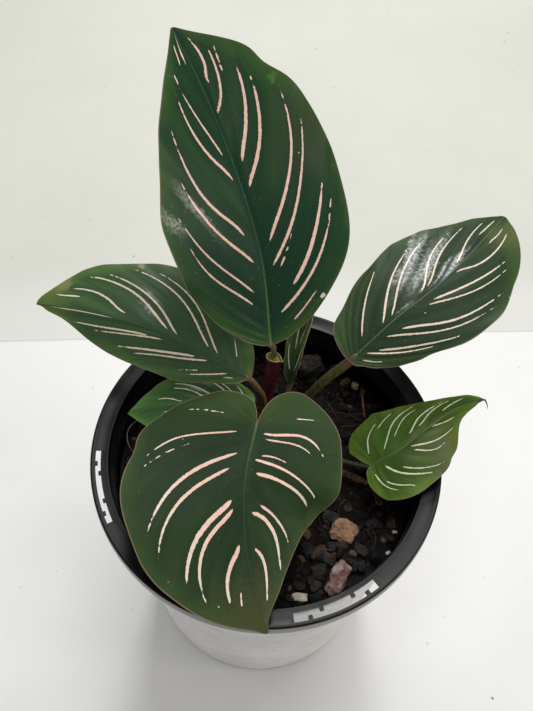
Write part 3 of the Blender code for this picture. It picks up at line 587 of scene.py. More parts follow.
def apply_modifier(thing, kind, **settings):
    """Add a modifier to an object and apply it at once."""
    activate(thing)
    modifier = thing.modifiers.new(kind.lower(), kind)
    for key, value in settings.items():
        setattr(modifier, key, value)
    bpy.ops.object.modifier_apply(modifier=modifier.name)


def settle(thing):
    """Put an object at the origin, unturned, with its place in its mesh."""
    activate(thing)
    bpy.ops.object.transform_apply(location=True, rotation=True, scale=True)


def finish_piece(thing, name, slot, *nodes, materials=(), sharp=None):
    """Name a piece, give it its materials, hang it on the root body and hide the packed parts that it
    replaces; the slot is not used.
    """
    settle(thing)
    thing.name = name
    thing.data.name = name
    while len(thing.data.materials) < len(materials):
        thing.data.materials.append(None)
    for index, made in enumerate(materials):
        thing.data.materials[index] = made
    activate(thing)
    if sharp is None:
        bpy.ops.object.shade_smooth()
    else:
        bpy.ops.object.shade_smooth_by_angle(angle=math.radians(sharp))
    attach(thing, "root")
    if nodes:
        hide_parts(*nodes)
    return thing


def weld(mesh, distance, turn_out=True):
    """Join the points of a mesh that meet, and turn its faces outward."""
    bm = bmesh.new()
    bm.from_mesh(mesh)
    bmesh.ops.remove_doubles(bm, verts=bm.verts, dist=distance)
    if turn_out:
        bmesh.ops.recalc_face_normals(bm, faces=bm.faces)
    bm.to_mesh(mesh)
    bm.free()


def keep_map(mesh, name, places):
    """Keep a UV map with one place for each vertex, and no other map."""
    while mesh.uv_layers:
        mesh.uv_layers.remove(mesh.uv_layers[0])
    layer = mesh.uv_layers.new(name=name)
    for loop in mesh.loops:
        layer.data[loop.index].uv = places[loop.vertex_index]


def keep_number(thing, name, values):
    """Keep one number for each vertex on a mesh."""
    made = thing.data.attributes.new(name, "FLOAT", "POINT")
    made.data.foreach_set("value", values)


def path_through(points, steps):
    """Round off a chain of points: a Catmull-Rom curve through all of them."""
    chain = [Vector(point) for point in points]
    first = chain[0] * 2 - chain[1]
    last = chain[-1] * 2 - chain[-2]
    chain = [first, *chain, last]
    path = []
    for a, b, c, d in zip(chain, chain[1:], chain[2:], chain[3:]):
        for step in range(steps):
            s = step / steps
            path.append(0.5 * (2 * b + (c - a) * s + (2 * a - 5 * b + 4 * c - d) * s ** 2
                               + (3 * b - a - 3 * c + d) * s ** 3))
    path.append(chain[-2])
    return path


def between(values, share, smooth=False):
    """Read a short list of values at a place from 0 to 1 along it."""
    place = min(max(share, 0.0), 1.0) * (len(values) - 1)
    low = min(int(place), len(values) - 2)
    part = place - low
    if smooth:
        part = part * part * (3 - 2 * part)
    return values[low] + (values[low + 1] - values[low]) * part


def rods(name, chains, resolution=4):
    """Make closed rods along chains of (place, radius), as one mesh."""
    deselect()
    bpy.ops.object.add(type="CURVE")
    made = bpy.context.object
    made.name = name
    curve = made.data
    curve.dimensions = "3D"
    curve.bevel_depth = MM
    curve.bevel_resolution = resolution
    curve.use_fill_caps = True
    for chain in chains:
        spline = curve.splines.new("POLY")
        spline.points.add(len(chain) - 1)
        for point, (place, radius) in zip(spline.points, chain):
            point.co = (*(Vector(place) * MM), 1.0)
            point.radius = radius
    activate(made)
    bpy.ops.object.convert(target="MESH")
    made = bpy.context.object
    weld(made.data, 1e-6)
    return made


def rod(name, points, radii, steps=8, resolution=6):
    """Make one rod with its radius given at each point, and keep the place along it."""
    path = path_through(points, steps)
    chain = [(place, between(radii, index / (len(path) - 1))) for index, place in enumerate(path)]
    made = rods(name, [chain], resolution)
    along = []
    for vertex in made.data.vertices:
        gaps = [(place - vertex.co / MM).length_squared for place in path]
        along.append(gaps.index(min(gaps)) / steps)
    keep_number(made, "along", along)
    return made


def colour(name, default, description):
    """A colour that a user may change."""
    return FloatVectorProperty(name=name, description=description, default=default, subtype="COLOR",
                               size=3, min=0.0, max=1.0)


class CalatheaLeafSettings(bpy.types.PropertyGroup):
    """Sizes and colours of the leaves."""

    thickness: FloatProperty(name="Thickness", description="Thickness of a blade", default=0.55 * MM,
                             min=0.1 * MM, max=2 * MM, unit="LENGTH", precision=5)
    fineness: FloatProperty(name="Fineness", description="Rows of faces for each millimetre of a blade",
                            default=0.85, min=0.1, max=1.5)
    stripe_width: FloatProperty(name="Stripe width", description="Times the measured stripe widths",
                                default=1.0, min=0.1, max=3.0)
    deep: colour("Deep green", (0.006, 0.032, 0.019), "Blue green beside the midrib and the stripes")
    green: colour("Green", (0.022, 0.060, 0.021), "Green between the stripes")
    bright: colour("Bright green", (0.052, 0.112, 0.024), "Green near the margin")
    olive: colour("Olive green", (0.046, 0.057, 0.026), "Brown tinge of the older leaves")
    young_deep: colour("Young deep green", (0.024, 0.050, 0.006), "Middle of the young leaf")
    young_bright: colour("Young green", (0.080, 0.145, 0.016), "Outer part of the young leaf")
    pink: colour("Pink stripe", (0.80, 0.50, 0.41), "Stripes of the grown leaves")
    cream: colour("Cream stripe", (0.70, 0.67, 0.50), "Pale stripes and pale ends")
    young_cream: colour("Young cream stripe", (0.56, 0.62, 0.37), "Stripes of the young leaves")
    margin: colour("Margin", (0.22, 0.15, 0.10), "Thin line along the margin")
    underside: colour("Underside", (0.085, 0.014, 0.028), "Wine red underside")


class CalatheaPotSettings(bpy.types.PropertyGroup):
    """Sizes and colours of the pot."""

    ridges: IntProperty(name="Ridges", description="Fine ridges inside, under the rim", default=5,
                        min=0, max=12)
    black: colour("Black plastic", (0.003, 0.003, 0.0038), "Inside and rim")
    grey: colour("Grey plastic", (0.60, 0.585, 0.575), "Outside")


class CalatheaMixSettings(bpy.types.PropertyGroup):
    """Amounts and colours of the potting mix."""

    crumbs: IntProperty(name="Crumbs", description="Loose crumbs of bark on top", default=1300,
                        min=0, max=3000)
    fibres: IntProperty(name="Fibres", description="Fine roots and fibres on top", default=110,
                        min=0, max=500)
    dark: colour("Mix", (0.0045, 0.0035, 0.0032), "Damp potting mix")
    brown: colour("Brown crumbs", (0.026, 0.015, 0.010), "Dry crumbs")


class CalatheaStageSettings(bpy.types.PropertyGroup):
    """Light and floor of the stage."""

    key: FloatProperty(name="Key light", description="Brightness of the large soft light", default=2.5,
                       min=0.0, max=100.0)
    fill: FloatProperty(name="Fill light", description="Brightness of the light from the front", default=0.8,
                        min=0.0, max=100.0)
    window: FloatProperty(name="Window", description="Brightness of the window that the leaves mirror",
                          default=15.0, min=0.0, max=100.0)
    room: FloatProperty(name="Room light", description="Strength of the light from all sides",
                        default=0.5, min=0.0, max=5.0)
    floor: colour("Floor", (0.80, 0.80, 0.785), "The bench the pot stands on")
    wall: colour("Wall", (0.60, 0.605, 0.55), "Behind the bench")


class Midrib:
    """The line down the middle of a leaf, with the blade's directions along it."""

    def __init__(self, leaf):
        self.leaf = leaf
        self.path = path_through(leaf["midrib"], 16)
        self.reach = [0.0]
        for a, b in zip(self.path, self.path[1:]):
            self.reach.append(self.reach[-1] + (b - a).length)
        self.length = self.reach[-1]

    def direction(self, index):
        """The smoothed forward direction at one of the path's points."""
        low = self.path[max(index - 2, 0)]
        high = self.path[min(index + 2, len(self.path) - 1)]
        return (high - low).normalized()

    def frame(self, along):
        """Place, forward, right and up directions at a distance from the stalk."""
        inside = min(max(along, 0.0), self.length)
        index = 0
        while index < len(self.reach) - 2 and self.reach[index + 1] < inside:
            index += 1
        share = (inside - self.reach[index]) / (self.reach[index + 1] - self.reach[index])
        forward = self.direction(index).lerp(self.direction(index + 1), share).normalized()
        place = self.path[index].lerp(self.path[index + 1], share) + forward * (along - inside)
        level = forward.cross(Vector((0, 0, 1))).normalized()
        steep = level.cross(forward)
        turn = math.radians(between(self.leaf["turn"], inside / self.length))
        right = level * math.cos(turn) + steep * math.sin(turn)
        return place, forward, right, right.cross(forward)

    def point(self, side, out, along, lift=0.0):
        """A point of the blade, from its place on the leaf laid flat."""
        place, _, right, up = self.frame(along)
        fold = math.radians(self.leaf["fold"][side])
        bend = math.radians(self.leaf["curl"][side]) + 1e-6
        sideways = (math.sin(fold) - math.sin(fold - bend * out)) / bend
        upward = (math.cos(fold - bend * out) - math.cos(fold)) / bend
        sign = 1 if side else -1
        return place + right * sideways * sign + up * (upward + lift)


def margin(leaf, length, side, share):
    """Where the flat leaf's edge is: out from the midrib and along it."""
    angle = math.pi * share
    along = length * ((1 - math.cos(angle)) / 2) ** leaf["belly"]
    out = leaf["width"][side] * max(math.sin(angle), 0.0)
    if share < 0.5:
        out = leaf["width"][side] * math.sin(angle) ** leaf["neck"]
        along -= leaf["lobes"][side] * math.sin(2 * angle)
    loss, lateness = leaf["taper"][side]
    out *= 1 - loss * max(along / length, 0.0) ** lateness
    out += between(leaf["edge"][side], share, smooth=True)
    for nick_side, nick, depth, reach in leaf["nicks"]:
        if nick_side == side:
            out -= depth * math.exp(-((share - nick) / reach) ** 2)
    return max(out, 0.3 * math.sin(angle)), along


def margin_tree(leaf, length, side):
    """Places along the flat leaf's edge, to find how far inside it a point lies."""
    tree = KDTree(MARGIN_PLACES + 1)
    for index in range(MARGIN_PLACES + 1):
        out, along = margin(leaf, length, side, index / MARGIN_PLACES)
        tree.insert((out, along, 0.0), index)
    tree.balance()
    return tree


def flat_place(leaf, length, side, share, v):
    """A point of the leaf laid flat, v of the way from the midrib to the margin along a side vein."""
    edge_out, edge_along = margin(leaf, length, side, share)
    start = length * share ** VEIN_SWEEP
    return edge_out * v, start + (edge_along - start) * ((1 - VEIN_BOW) * v + VEIN_BOW * v * v)


def vein_spacing(leaf, length, side, share, v):
    """How far apart the side veins are here, for a whole leaf's worth of them."""
    step = 0.01
    share = min(max(share, 2 * step), 1 - 2 * step)
    v = min(max(v, 2 * step), 1 - 2 * step)
    ahead = Vector(flat_place(leaf, length, side, share + step, v))
    behind = Vector(flat_place(leaf, length, side, share - step, v))
    outer = Vector(flat_place(leaf, length, side, share, v + step))
    inner = Vector(flat_place(leaf, length, side, share, v - step))
    vein = (outer - inner).normalized()
    across = ahead - behind
    return abs(across.x * vein.y - across.y * vein.x) / (2 * step)


def blade_lift(leaf, side, share, v, out):
    """How far the blade stands off its smooth form: waves, ruffles, quilting and the midrib's channel."""
    height, waves = leaf["wave"]
    ends = max(math.sin(math.pi * share), 0.0)
    lift = height * v ** 3 * math.sin(math.tau * waves * share + side) * ends
    ruffle = noise(Vector((share * 17, side * 5 + leaf["width"][0], 0.0)))
    lift += 0.8 * v ** 6 * ruffle * ends
    drift = 0.9 * noise(Vector((share * 3.1, side * 7.0, leaf["width"][1])))
    swell = math.sin(math.tau * (10.5 * share + drift))
    swell += 0.15 * math.sin(math.tau * (23 * share + 2 * drift))
    lift += leaf["quilt"] * swell * min(1.0, 5 * v) * (1 - v ** 5) * ends ** 0.5
    lift += 0.35 * noise(Vector((share * 6, v * 3, side * 9 + leaf["width"][0]))) * ends
    depth = CHANNEL_DEPTH * (1 - 0.7 * share ** VEIN_SWEEP) * ends ** 0.3
    return lift - depth * math.exp(-(out / CHANNEL_WIDTH) ** 2)


def blade(leaf, midrib, thickness, fineness):
    """Make a blade from a grid whose rows follow the side veins."""
    rows = max(40, round(midrib.length * fineness))
    columns = max(10, round(max(leaf["width"]) * 0.62 * fineness))
    deselect()
    bpy.ops.mesh.primitive_grid_add(x_subdivisions=2 * columns, y_subdivisions=rows, size=2)
    made = bpy.context.object
    mesh = made.data
    trees = [margin_tree(leaf, midrib.length, side) for side in (0, 1)]
    outs = []
    inwards = []
    spacings = []
    flat = []
    for vertex in mesh.vertices:
        share = ((vertex.co.y + 1) / 2) ** ROW_SPACING
        side = 1 if vertex.co.x > 0 else 0
        v = abs(vertex.co.x) ** COLUMN_SPACING
        out, along = flat_place(leaf, midrib.length, side, share, v)
        spacings.append(vein_spacing(leaf, midrib.length, side, share, v))
        outs.append(out)
        inwards.append(trees[side].find((out, along, 0.0))[2])
        flat.append((share, 0.5 + (0.5 if side else -0.5) * v))
        lift = blade_lift(leaf, side, share, v, out)
        vertex.co = midrib.point(side, out, along, lift) * MM
    keep_map(mesh, "veins", flat)
    keep_number(made, "out", outs)
    keep_number(made, "inward", inwards)
    keep_number(made, "spacing", spacings)
    weld(mesh, 1e-5, turn_out=False)
    mesh.materials.append(None)
    mesh.materials.append(None)
    apply_modifier(made, "SOLIDIFY", thickness=thickness, offset=-1.0, material_offset=1,
                   material_offset_rim=0)
    return made


def stripe_line(stripe, lean, place):
    """The vein that a stripe is on at a place along it, as a number or as nodes."""
    start, end, bow = stripe[1:4]
    peak = lean ** lean / (lean + 1) ** (lean + 1)
    return start + (end - start) * place + place ** lean * (1 - place) * (bow / peak)


def stripe_halves(leaf, length, stripe, lean):
    """Half widths along a stripe, measured across the veins although it crosses them aslant."""
    side, near, far, width = stripe[0], *stripe[4:7]
    stops = []
    for place, taper in STRIPE_TAPER:
        v = near + (far - near) * place
        vein = stripe_line(stripe, lean, place)
        here = Vector(flat_place(leaf, length, side, vein, v))
        on_vein = Vector(flat_place(leaf, length, side, vein, v + 0.01))
        vein = stripe_line(stripe, lean, place + 0.01 / (far - near))
        on_stripe = Vector(flat_place(leaf, length, side, vein, v + 0.01))
        slant = (on_stripe - here).length / (on_vein - here).length
        stops.append((place, 0.5 * width * taper * slant / WIDEST_HALF))
    return stops


def stripe_mask(paint, name, width_factor, share, across, spacing, gate, wobble, jitter):
    """Masks of a leaf's stripes and of the darker green beside them."""
    leaf = LEAVES[name]
    length = Midrib(leaf).length
    sides = (1 - 2 * across, 2 * across - 1)
    mask = None
    shade = None
    for stripe in STRIPES[name]:
        side, near, far, ragged = stripe[0], stripe[4], stripe[5], stripe[7]
        lean = TINTS[name]["lean"][side]
        place = (sides[side] - near) / (far - near)
        offset = abs(share - stripe_line(stripe, lean, place)) * spacing + jitter
        half = paint.ramp(place, *stripe_halves(leaf, length, stripe, lean)) * WIDEST_HALF
        broken = gate if ragged else gate * paint.rise(place, 0.86, 0.96)
        drawn = paint.rise(half * (1 - broken) * (wobble * width_factor) - offset, 0.0, 0.22)
        beside = paint.rise(half, 0.1, 0.4) * paint.rise(offset, 1.0, 5.0, 1.0, 0.0)
        mask = drawn if mask is None else paint.larger(mask, drawn)
        shade = beside if shade is None else paint.larger(shade, beside)
    return mask, shade


def blend(share, first, second):
    """Mix two colours given as numbers."""
    return [a + (b - a) * share for a, b in zip(first, second)]


def leaf_greens(tint, settings):
    """The deep, middle and bright green of one leaf."""
    ages = ((settings.deep, settings.young_deep, 0.75), (settings.green, settings.young_bright, 1.0),
            (settings.bright, settings.young_bright, 1.4))
    greens = []
    for grown, young, level in ages:
        olive = [channel * level for channel in settings.olive]
        green = blend(tint["olive"], blend(tint["youth"], grown, young), olive)
        greens.append([channel * tint["light"] for channel in green])
    return greens


def blade_finish(name, settings):
    """The upper side of a blade: greens, pinstripes, midrib line, margin line and gloss."""
    tint = TINTS[name]
    youth = tint["youth"]
    paint = Paint(name + "_upper_side", specular_ior_level=tint["gloss"], coat_roughness=SHEEN_ROUGHNESS)
    place = paint.place()
    share, across = paint.map("veins")
    out = paint.attribute("out")
    spacing = paint.attribute("spacing")
    v = abs(across * 2 - 1)
    cloudy = paint.noise(place, 34.0, 3.0)
    fine = paint.noise(place, 420.0, 2.0)
    gate = paint.rise(paint.noise(place, 300.0, 1.0), 0.44, 0.56)
    wobble = 0.80 + 0.40 * fine
    jitter = (paint.noise(place, 1000.0, 1.0) - 0.5) * 0.5
    mask, shade = stripe_mask(paint, name, settings.stripe_width, share, across, spacing,
                              gate, wobble, jitter)
    side = paint.maths("GREATER_THAN", across, 0.5) * 9.0
    bands = paint.noise(paint.vector(share * 11.0 + side, v * 0.7), 1.0, 2.0)
    threads = paint.noise(paint.vector(share * 120.0 + side, v * 2.5), 1.0, 2.0, 0.6)
    deep, green, bright = leaf_greens(tint, settings)
    pleats = paint.noise(paint.vector(share * 34.0 + side, v * 1.2), 1.0, 2.0)
    outward = paint.rise(v * 0.6 + (bands - 0.5) * 1.6 + (cloudy - 0.5) * 0.6, 0.05, 0.8)
    body = paint.mix(outward, deep, green)
    body = paint.mix(shade * 0.6, body, deep)
    body = paint.mix(paint.rise(pleats, 0.48, 0.68) * 0.5, body, deep)
    rim = paint.rise(v + (cloudy - 0.5) * 0.3, 0.88, 1.06)
    rim = paint.larger(rim, paint.rise(share, 0.1, 0.5, 0.9, 0.0))
    body = paint.mix(rim * 0.75, body, bright)
    for spot, sharp, soft, strength, tone in SPOTS.get(name, ()):
        away = paint.distance(place, Vector(spot) * MM) / MM + (fine - 0.5) * 3.0 * sharp
        body = paint.mix(paint.rise(away, sharp, soft, strength, 0.0), body, tone)
    body = paint.mix(0.2 * threads, body, bright)
    half, rib_base, rib_tip = tint["rib"]
    rib = paint.rise(half - 0.5 * half * share - out, -0.15, 0.2)
    body = paint.mix(rib * 0.85, body, paint.mix(paint.rise(share, 0.4, 0.8), rib_base, rib_tip))
    faded = paint.rise(v + cloudy * 0.3, 0.5, 1.1) * tint["fade"]
    cream = blend(youth, settings.cream, settings.young_cream)
    stripe_colour = paint.mix(faded, settings.pink, cream)
    stripe_colour = paint.mix(1 - tint["pink"], stripe_colour, cream)
    stripe_colour = paint.mix(paint.rise(fine, 0.35, 0.7, 0.0, 0.3), stripe_colour, (0.86, 0.70, 0.60))
    body = paint.mix(mask, body, stripe_colour)
    edge = paint.rise(paint.attribute("inward"), tint["margin"] * 0.5, tint["margin"], 1.0, 0.0)
    body = paint.mix(edge * paint.rise(share, 0.75, 0.9, 0.85, 0.3), body, settings.margin)
    body = paint.mix(paint.dots(place, 62.0, 0.028) * 0.8, body, (0.62, 0.60, 0.50))
    cells = paint.noise(place, 1500.0, 1.0)
    dull = paint.rise(cloudy, 0.3, 0.7, tint["dull"] - 0.03, tint["dull"] + 0.03) + mask * 0.12
    grain = paint.rise(paint.noise(place, 650.0, 3.0), 0.36, 0.62, 0.3, 1.0)
    coat = 0.0
    for half, vein, reach, low, high in SHEENS.get(name, ()):
        away = abs(share - vein) * spacing + (fine - 0.5) * reach * 1.4
        inner = across * 2 - 1 if half else 1 - across * 2
        within = paint.rise(inner, low - 0.06, low + 0.06)
        within *= paint.rise(inner, high - 0.04, high + 0.1, 1.0, 0.0)
        shine = paint.rise(away, reach * 0.5, reach * 1.1, 1.0, 0.0) * within
        coat = paint.larger(coat, shine * grain * tint["coat"])
    relief = paint.bump(cells, 0.035, paint.bump(fine, 0.02, paint.bump(threads, 0.03)))
    return paint.finish(base_color=body, roughness=dull, coat_weight=coat, normal=relief)


def underside_finish(name, settings):
    """The wine red underside of a blade, greener on the young leaves."""
    youth = TINTS[name]["youth"]
    paint = Paint(name + "_underside", roughness=0.5)
    place = paint.place()
    share, across = paint.map("veins")
    v = abs(across * 2 - 1)
    threads = paint.noise(paint.vector(share * 90.0, v * 2.5), 1.0, 2.0, 0.6)
    cloudy = paint.noise(place, 45.0, 3.0)
    red = settings.underside
    pale = [channel * 1.7 + 0.01 for channel in red]
    body = paint.mix(threads, red, pale)
    greener = paint.rise(cloudy + v * 0.4, 0.5, 1.1) * (0.25 + 0.5 * youth)
    body = paint.mix(greener, body, (0.07, 0.10, 0.025))
    rough = paint.rise(cloudy, 0.3, 0.7, 0.42, 0.58)
    return paint.finish(base_color=body, roughness=rough, normal=paint.bump(threads, 0.12))


def stalk_finish(name, leaf):
    """A stalk: its own colour, then the thicker joint's, then the midrib's under the blade."""
    stem, joint = TINTS[name]["stem"], TINTS[name]["joint"]
    paint = Paint(name + "_stalk_skin", roughness=0.45)
    place = paint.place()
    along = paint.attribute("along")
    top = len(leaf["stalk"])
    streaks = paint.noise(paint.stretch(place, (900.0, 900.0, 110.0)), 1.0, 3.0)
    cloudy = paint.noise(place, 160.0, 3.0)
    deep = [channel * 0.45 for channel in stem]
    body = paint.mix(paint.rise(streaks, 0.3, 0.7), deep, stem)
    body = paint.mix(paint.rise(along + cloudy * 0.2, top - 0.15, top + 0.05), body, joint)
    rib = [channel * 0.7 for channel in TINTS[name]["rib"][1]]
    body = paint.mix(paint.rise(along, top + 0.1, top + 0.5), body, rib)
    dark = paint.rise(along, 1.0, 1.7, 0.75, 0.0)
    body = paint.mix(dark, body, (0.030, 0.018, 0.010))
    return paint.finish(base_color=body, roughness=paint.rise(cloudy, 0.3, 0.7, 0.36, 0.55),
                        normal=paint.bump(streaks, 0.08))


def tail_finish(name):
    """The drying thread at a young leaf's tip, browner towards its end."""
    paint = Paint(name + "_tail_skin", roughness=0.5)
    along = paint.attribute("along")
    body = paint.mix(paint.rise(along, 0.8, 2.6), (0.045, 0.075, 0.018), (0.060, 0.040, 0.020))
    return paint.finish(base_color=body)


def stalk(name, leaf, midrib, thickness):
    """Make a stalk that swells at its joint and runs on under the blade as the midrib's rib."""
    radius = leaf["radius"]
    points = list(leaf["stalk"])
    radii = [radius * 1.15] + [radius] * (len(points) - 2) + [radius * 1.15]
    for share in (0.0, 0.06, 0.14, 0.28, 0.44, 0.6, 0.76, 0.9):
        size = radius * (1.15 - 1.0 * share) * (1.0 if share < 0.1 else 0.8)
        sunk = CHANNEL_DEPTH * (1 - 0.7 * share) + 0.45 * thickness + size
        points.append(midrib.point(1, 0.0, midrib.length * share, -sunk))
        radii.append(size)
    return rod(name, points, radii)


class CALATHEA_OT_leaves(bpy.types.Operator):
    """Model the seven leaves, each a blade and a stalk"""

    bl_idname = "calathea.leaves"
    bl_label = "Leaves"

    def execute(self, context):
        settings = context.scene.calathea_leaves
        for name, leaf in LEAVES.items():
            midrib = Midrib(leaf)
            kind = "young_leaf" if name == "leaf_low_right" else "leaf"
            made = blade(leaf, midrib, settings.thickness, settings.fineness)
            skins = (blade_finish(name, settings), underside_finish(name, settings))
            finish_piece(made, name + "_blade", kind, name, materials=skins, sharp=50)
            made = stalk(name, leaf, midrib, settings.thickness / MM)
            finish_piece(made, name + "_stalk", kind, materials=(stalk_finish(name, leaf),))
            if "tail" in leaf:
                made = rod(name + "_tail", leaf["tail"], (0.5, 0.55, 0.4, 0.12))
                finish_piece(made, name + "_tail", kind, materials=(tail_finish(name),))
        return {"FINISHED"}


def sheath_finish():
    """The sheath: wine red outside, an olive strip down one side, olive inside."""
    paint = Paint("sheath_skin", roughness=0.4)
    place = paint.place()
    round_it, along = paint.map("wrap")
    streaks = paint.noise(paint.vector(round_it * 26.0, along * 4.0), 1.0, 3.0)
    cloudy = paint.noise(place, 120.0, 2.0)
    fresh = streaks * paint.rise(along, 0.6, 0.95, 1.2, 0.6)
    body = paint.mix(fresh, (0.024, 0.003, 0.006), (0.11, 0.009, 0.022))
    strip = paint.rise(abs(round_it - 0.50 + 0.03 * cloudy), 0.05, 0.08, 1.0, 0.0)
    body = paint.mix(strip * paint.rise(along, 0.55, 0.8, 1.0, 0.0), body, (0.13, 0.10, 0.018))
    lip = paint.rise(along, 0.994, 1.004)
    body = paint.mix(lip, body, (0.34, 0.27, 0.12))
    return paint.finish(base_color=body, roughness=paint.rise(cloudy, 0.3, 0.7, 0.3, 0.5),
                        normal=paint.bump(streaks, 0.1))


def sheath_inside_finish():
    """The fresh olive inside of the sheath."""
    paint = Paint("sheath_lining", roughness=0.5)
    cloudy = paint.noise(paint.place(), 500.0, 3.0)
    body = paint.mix(cloudy, (0.060, 0.075, 0.005), (0.175, 0.175, 0.012))
    return paint.finish(base_color=body, normal=paint.bump(cloudy, 0.2))


def wrapped_sheath():
    """Make the sheath: a wall with a free edge wrapped round it, closed by green below its lip."""
    around, wall_rows = 96, 90
    rows = wall_rows + 1 + len(SHEATH_MOUTH)
    path = path_through(SHEATH_PATH, 24)
    deselect()
    bpy.ops.mesh.primitive_grid_add(x_subdivisions=around, y_subdivisions=rows, size=2)
    made = bpy.context.object
    mesh = made.data
    flat = []
    for vertex in mesh.vertices:
        u = (vertex.co.x + 1) / 2
        row = round((vertex.co.y + 1) / 2 * rows)
        share = min(max((row - 1) / wall_rows, 0.0), 1.0)
        rise, inset = (0.0, 0.0) if row else (0.0, SHEATH_CLOSED)
        if row > wall_rows + 1:
            rise, inset = SHEATH_MOUTH[row - wall_rows - 2]
        angle = math.radians(SHEATH_EDGE_TURN) + math.tau * u
        index = min(int(share * (len(path) - 1)), len(path) - 2)
        centre = path[index].lerp(path[index + 1], share * (len(path) - 1) - index)
        forward = (path[index + 1] - path[index]).normalized()
        right = forward.cross(Vector((0, 1, 0))).normalized()
        up = right.cross(forward)
        overlap = min(u / (1 - SHEATH_EDGE_SHARE), (1 - u) / SHEATH_EDGE_SHARE)
        whole = between(SHEATH_RADII, share) + SHEATH_EDGE_HEIGHT * overlap
        whole += 0.15 * noise(Vector((math.cos(angle), math.sin(angle), share * 6)))
        nib = math.exp(-((u - NIB_PLACE) / NIB_WIDTH) ** 2) * share ** 30
        radius = max(whole + NIB_REACH * nib - inset, 0.0)
        slant = MOUTH_SLANT * math.cos(angle - math.radians(MOUTH_SLANT_TURN))
        slant *= share ** 8 * radius / whole
        centre = centre + forward * (rise + slant)
        vertex.co = (centre + (right * math.cos(angle) + up * math.sin(angle)) * radius) * MM
        flat.append((u, share + 0.01 * max(row - wall_rows - 1, 0)))
    keep_map(mesh, "wrap", flat)
    mesh.materials.append(None)
    mesh.materials.append(None)
    for face in mesh.polygons:
        face.material_index = 1 if min(flat[index][1] for index in face.vertices) > 1.035 else 0
    weld(mesh, 1e-6)
    return made


def wood_finish(name, deep, worn, scale=(500.0, 500.0, 120.0)):
    """Dry woody skin with lengthwise fibres."""
    paint = Paint(name, roughness=0.8)
    place = paint.place()
    fibres = paint.noise(paint.stretch(place, scale), 1.0, 4.0, 0.65)
    blotches = paint.noise(place, 260.0, 3.0)
    body = paint.mix(paint.rise(fibres, 0.3, 0.7), deep, worn)
    body = paint.mix(paint.rise(blotches, 0.5, 0.75) * 0.7, body, [channel * 0.4 for channel in deep])
    relief = paint.bump(blotches, 0.25, paint.bump(fibres, 0.2))
    return paint.finish(base_color=body, roughness=paint.rise(blotches, 0.3, 0.7, 0.7, 0.95), normal=relief)


def roughen(made, amount, size, seed):
    """Push a mesh in and out along its normals by noise."""
    shift = Vector((seed, 0, 0))
    for vertex in made.data.vertices:
        place = vertex.co / MM
        push = noise(place / size + shift) + 0.5 * noise(place / size * 2.7 + shift)
        vertex.co += vertex.normal * (push * amount * MM)


class CALATHEA_OT_sheath(bpy.types.Operator):
    """Model the rolled sheath round the tall leaf's stalk"""

    bl_idname = "calathea.sheath"
    bl_label = "Sheath"

    def execute(self, context):
        made = wrapped_sheath()
        skins = (sheath_finish(), sheath_inside_finish())
        finish_piece(made, "rolled_leaf_sheath", "sheath", "leaf_sheath", materials=skins, sharp=50)
        return {"FINISHED"}


class CALATHEA_OT_wood(bpy.types.Operator):
    """Model the knobby old stem, the twig and the bare root"""

    bl_idname = "calathea.wood"
    bl_label = "Old stem, twig and root"

    def execute(self, context):
        made = rod("old_stem", OLD_STEM_PATH, OLD_STEM_RADII, steps=14, resolution=8)
        roughen(made, 0.55, 2.2, 3.0)
        skin = wood_finish("old_stem_skin", (0.050, 0.028, 0.014), (0.17, 0.105, 0.055))
        finish_piece(made, "knobby_old_stem", "bark", "old_stem", materials=(skin,))
        made = rod("wood_twig", TWIG_PATH, TWIG_RADII, steps=14, resolution=5)
        roughen(made, 0.12, 1.6, 8.0)
        skin = wood_finish("twig_skin", (0.17, 0.065, 0.025), (0.38, 0.19, 0.085))
        finish_piece(made, "fibrous_twig", "pale_bark", "wood_twig", materials=(skin,))
        made = rod("bare_root", ROOT_PATH, ROOT_RADII, steps=10, resolution=4)
        skin = wood_finish("root_skin", (0.10, 0.075, 0.05), (0.24, 0.19, 0.13))
        finish_piece(made, "bare_root_strand", "pale_bark", materials=(skin,))
        return {"FINISHED"}


def soil_height(x, y):
    """Height of the potting mix's lumpy top."""
    lumps = noise(Vector((x, y, 0)) / SOIL_LUMP_SIZE) + 0.5 * noise(Vector((x, y, 40)) / 5)
    away = ((x - HEAP_PLACE[0]) ** 2 + (y - HEAP_PLACE[1]) ** 2) / HEAP_SPREAD ** 2
    return SOIL_TOP + SOIL_LUMP * lumps + HEAP_HEIGHT * math.exp(-away)


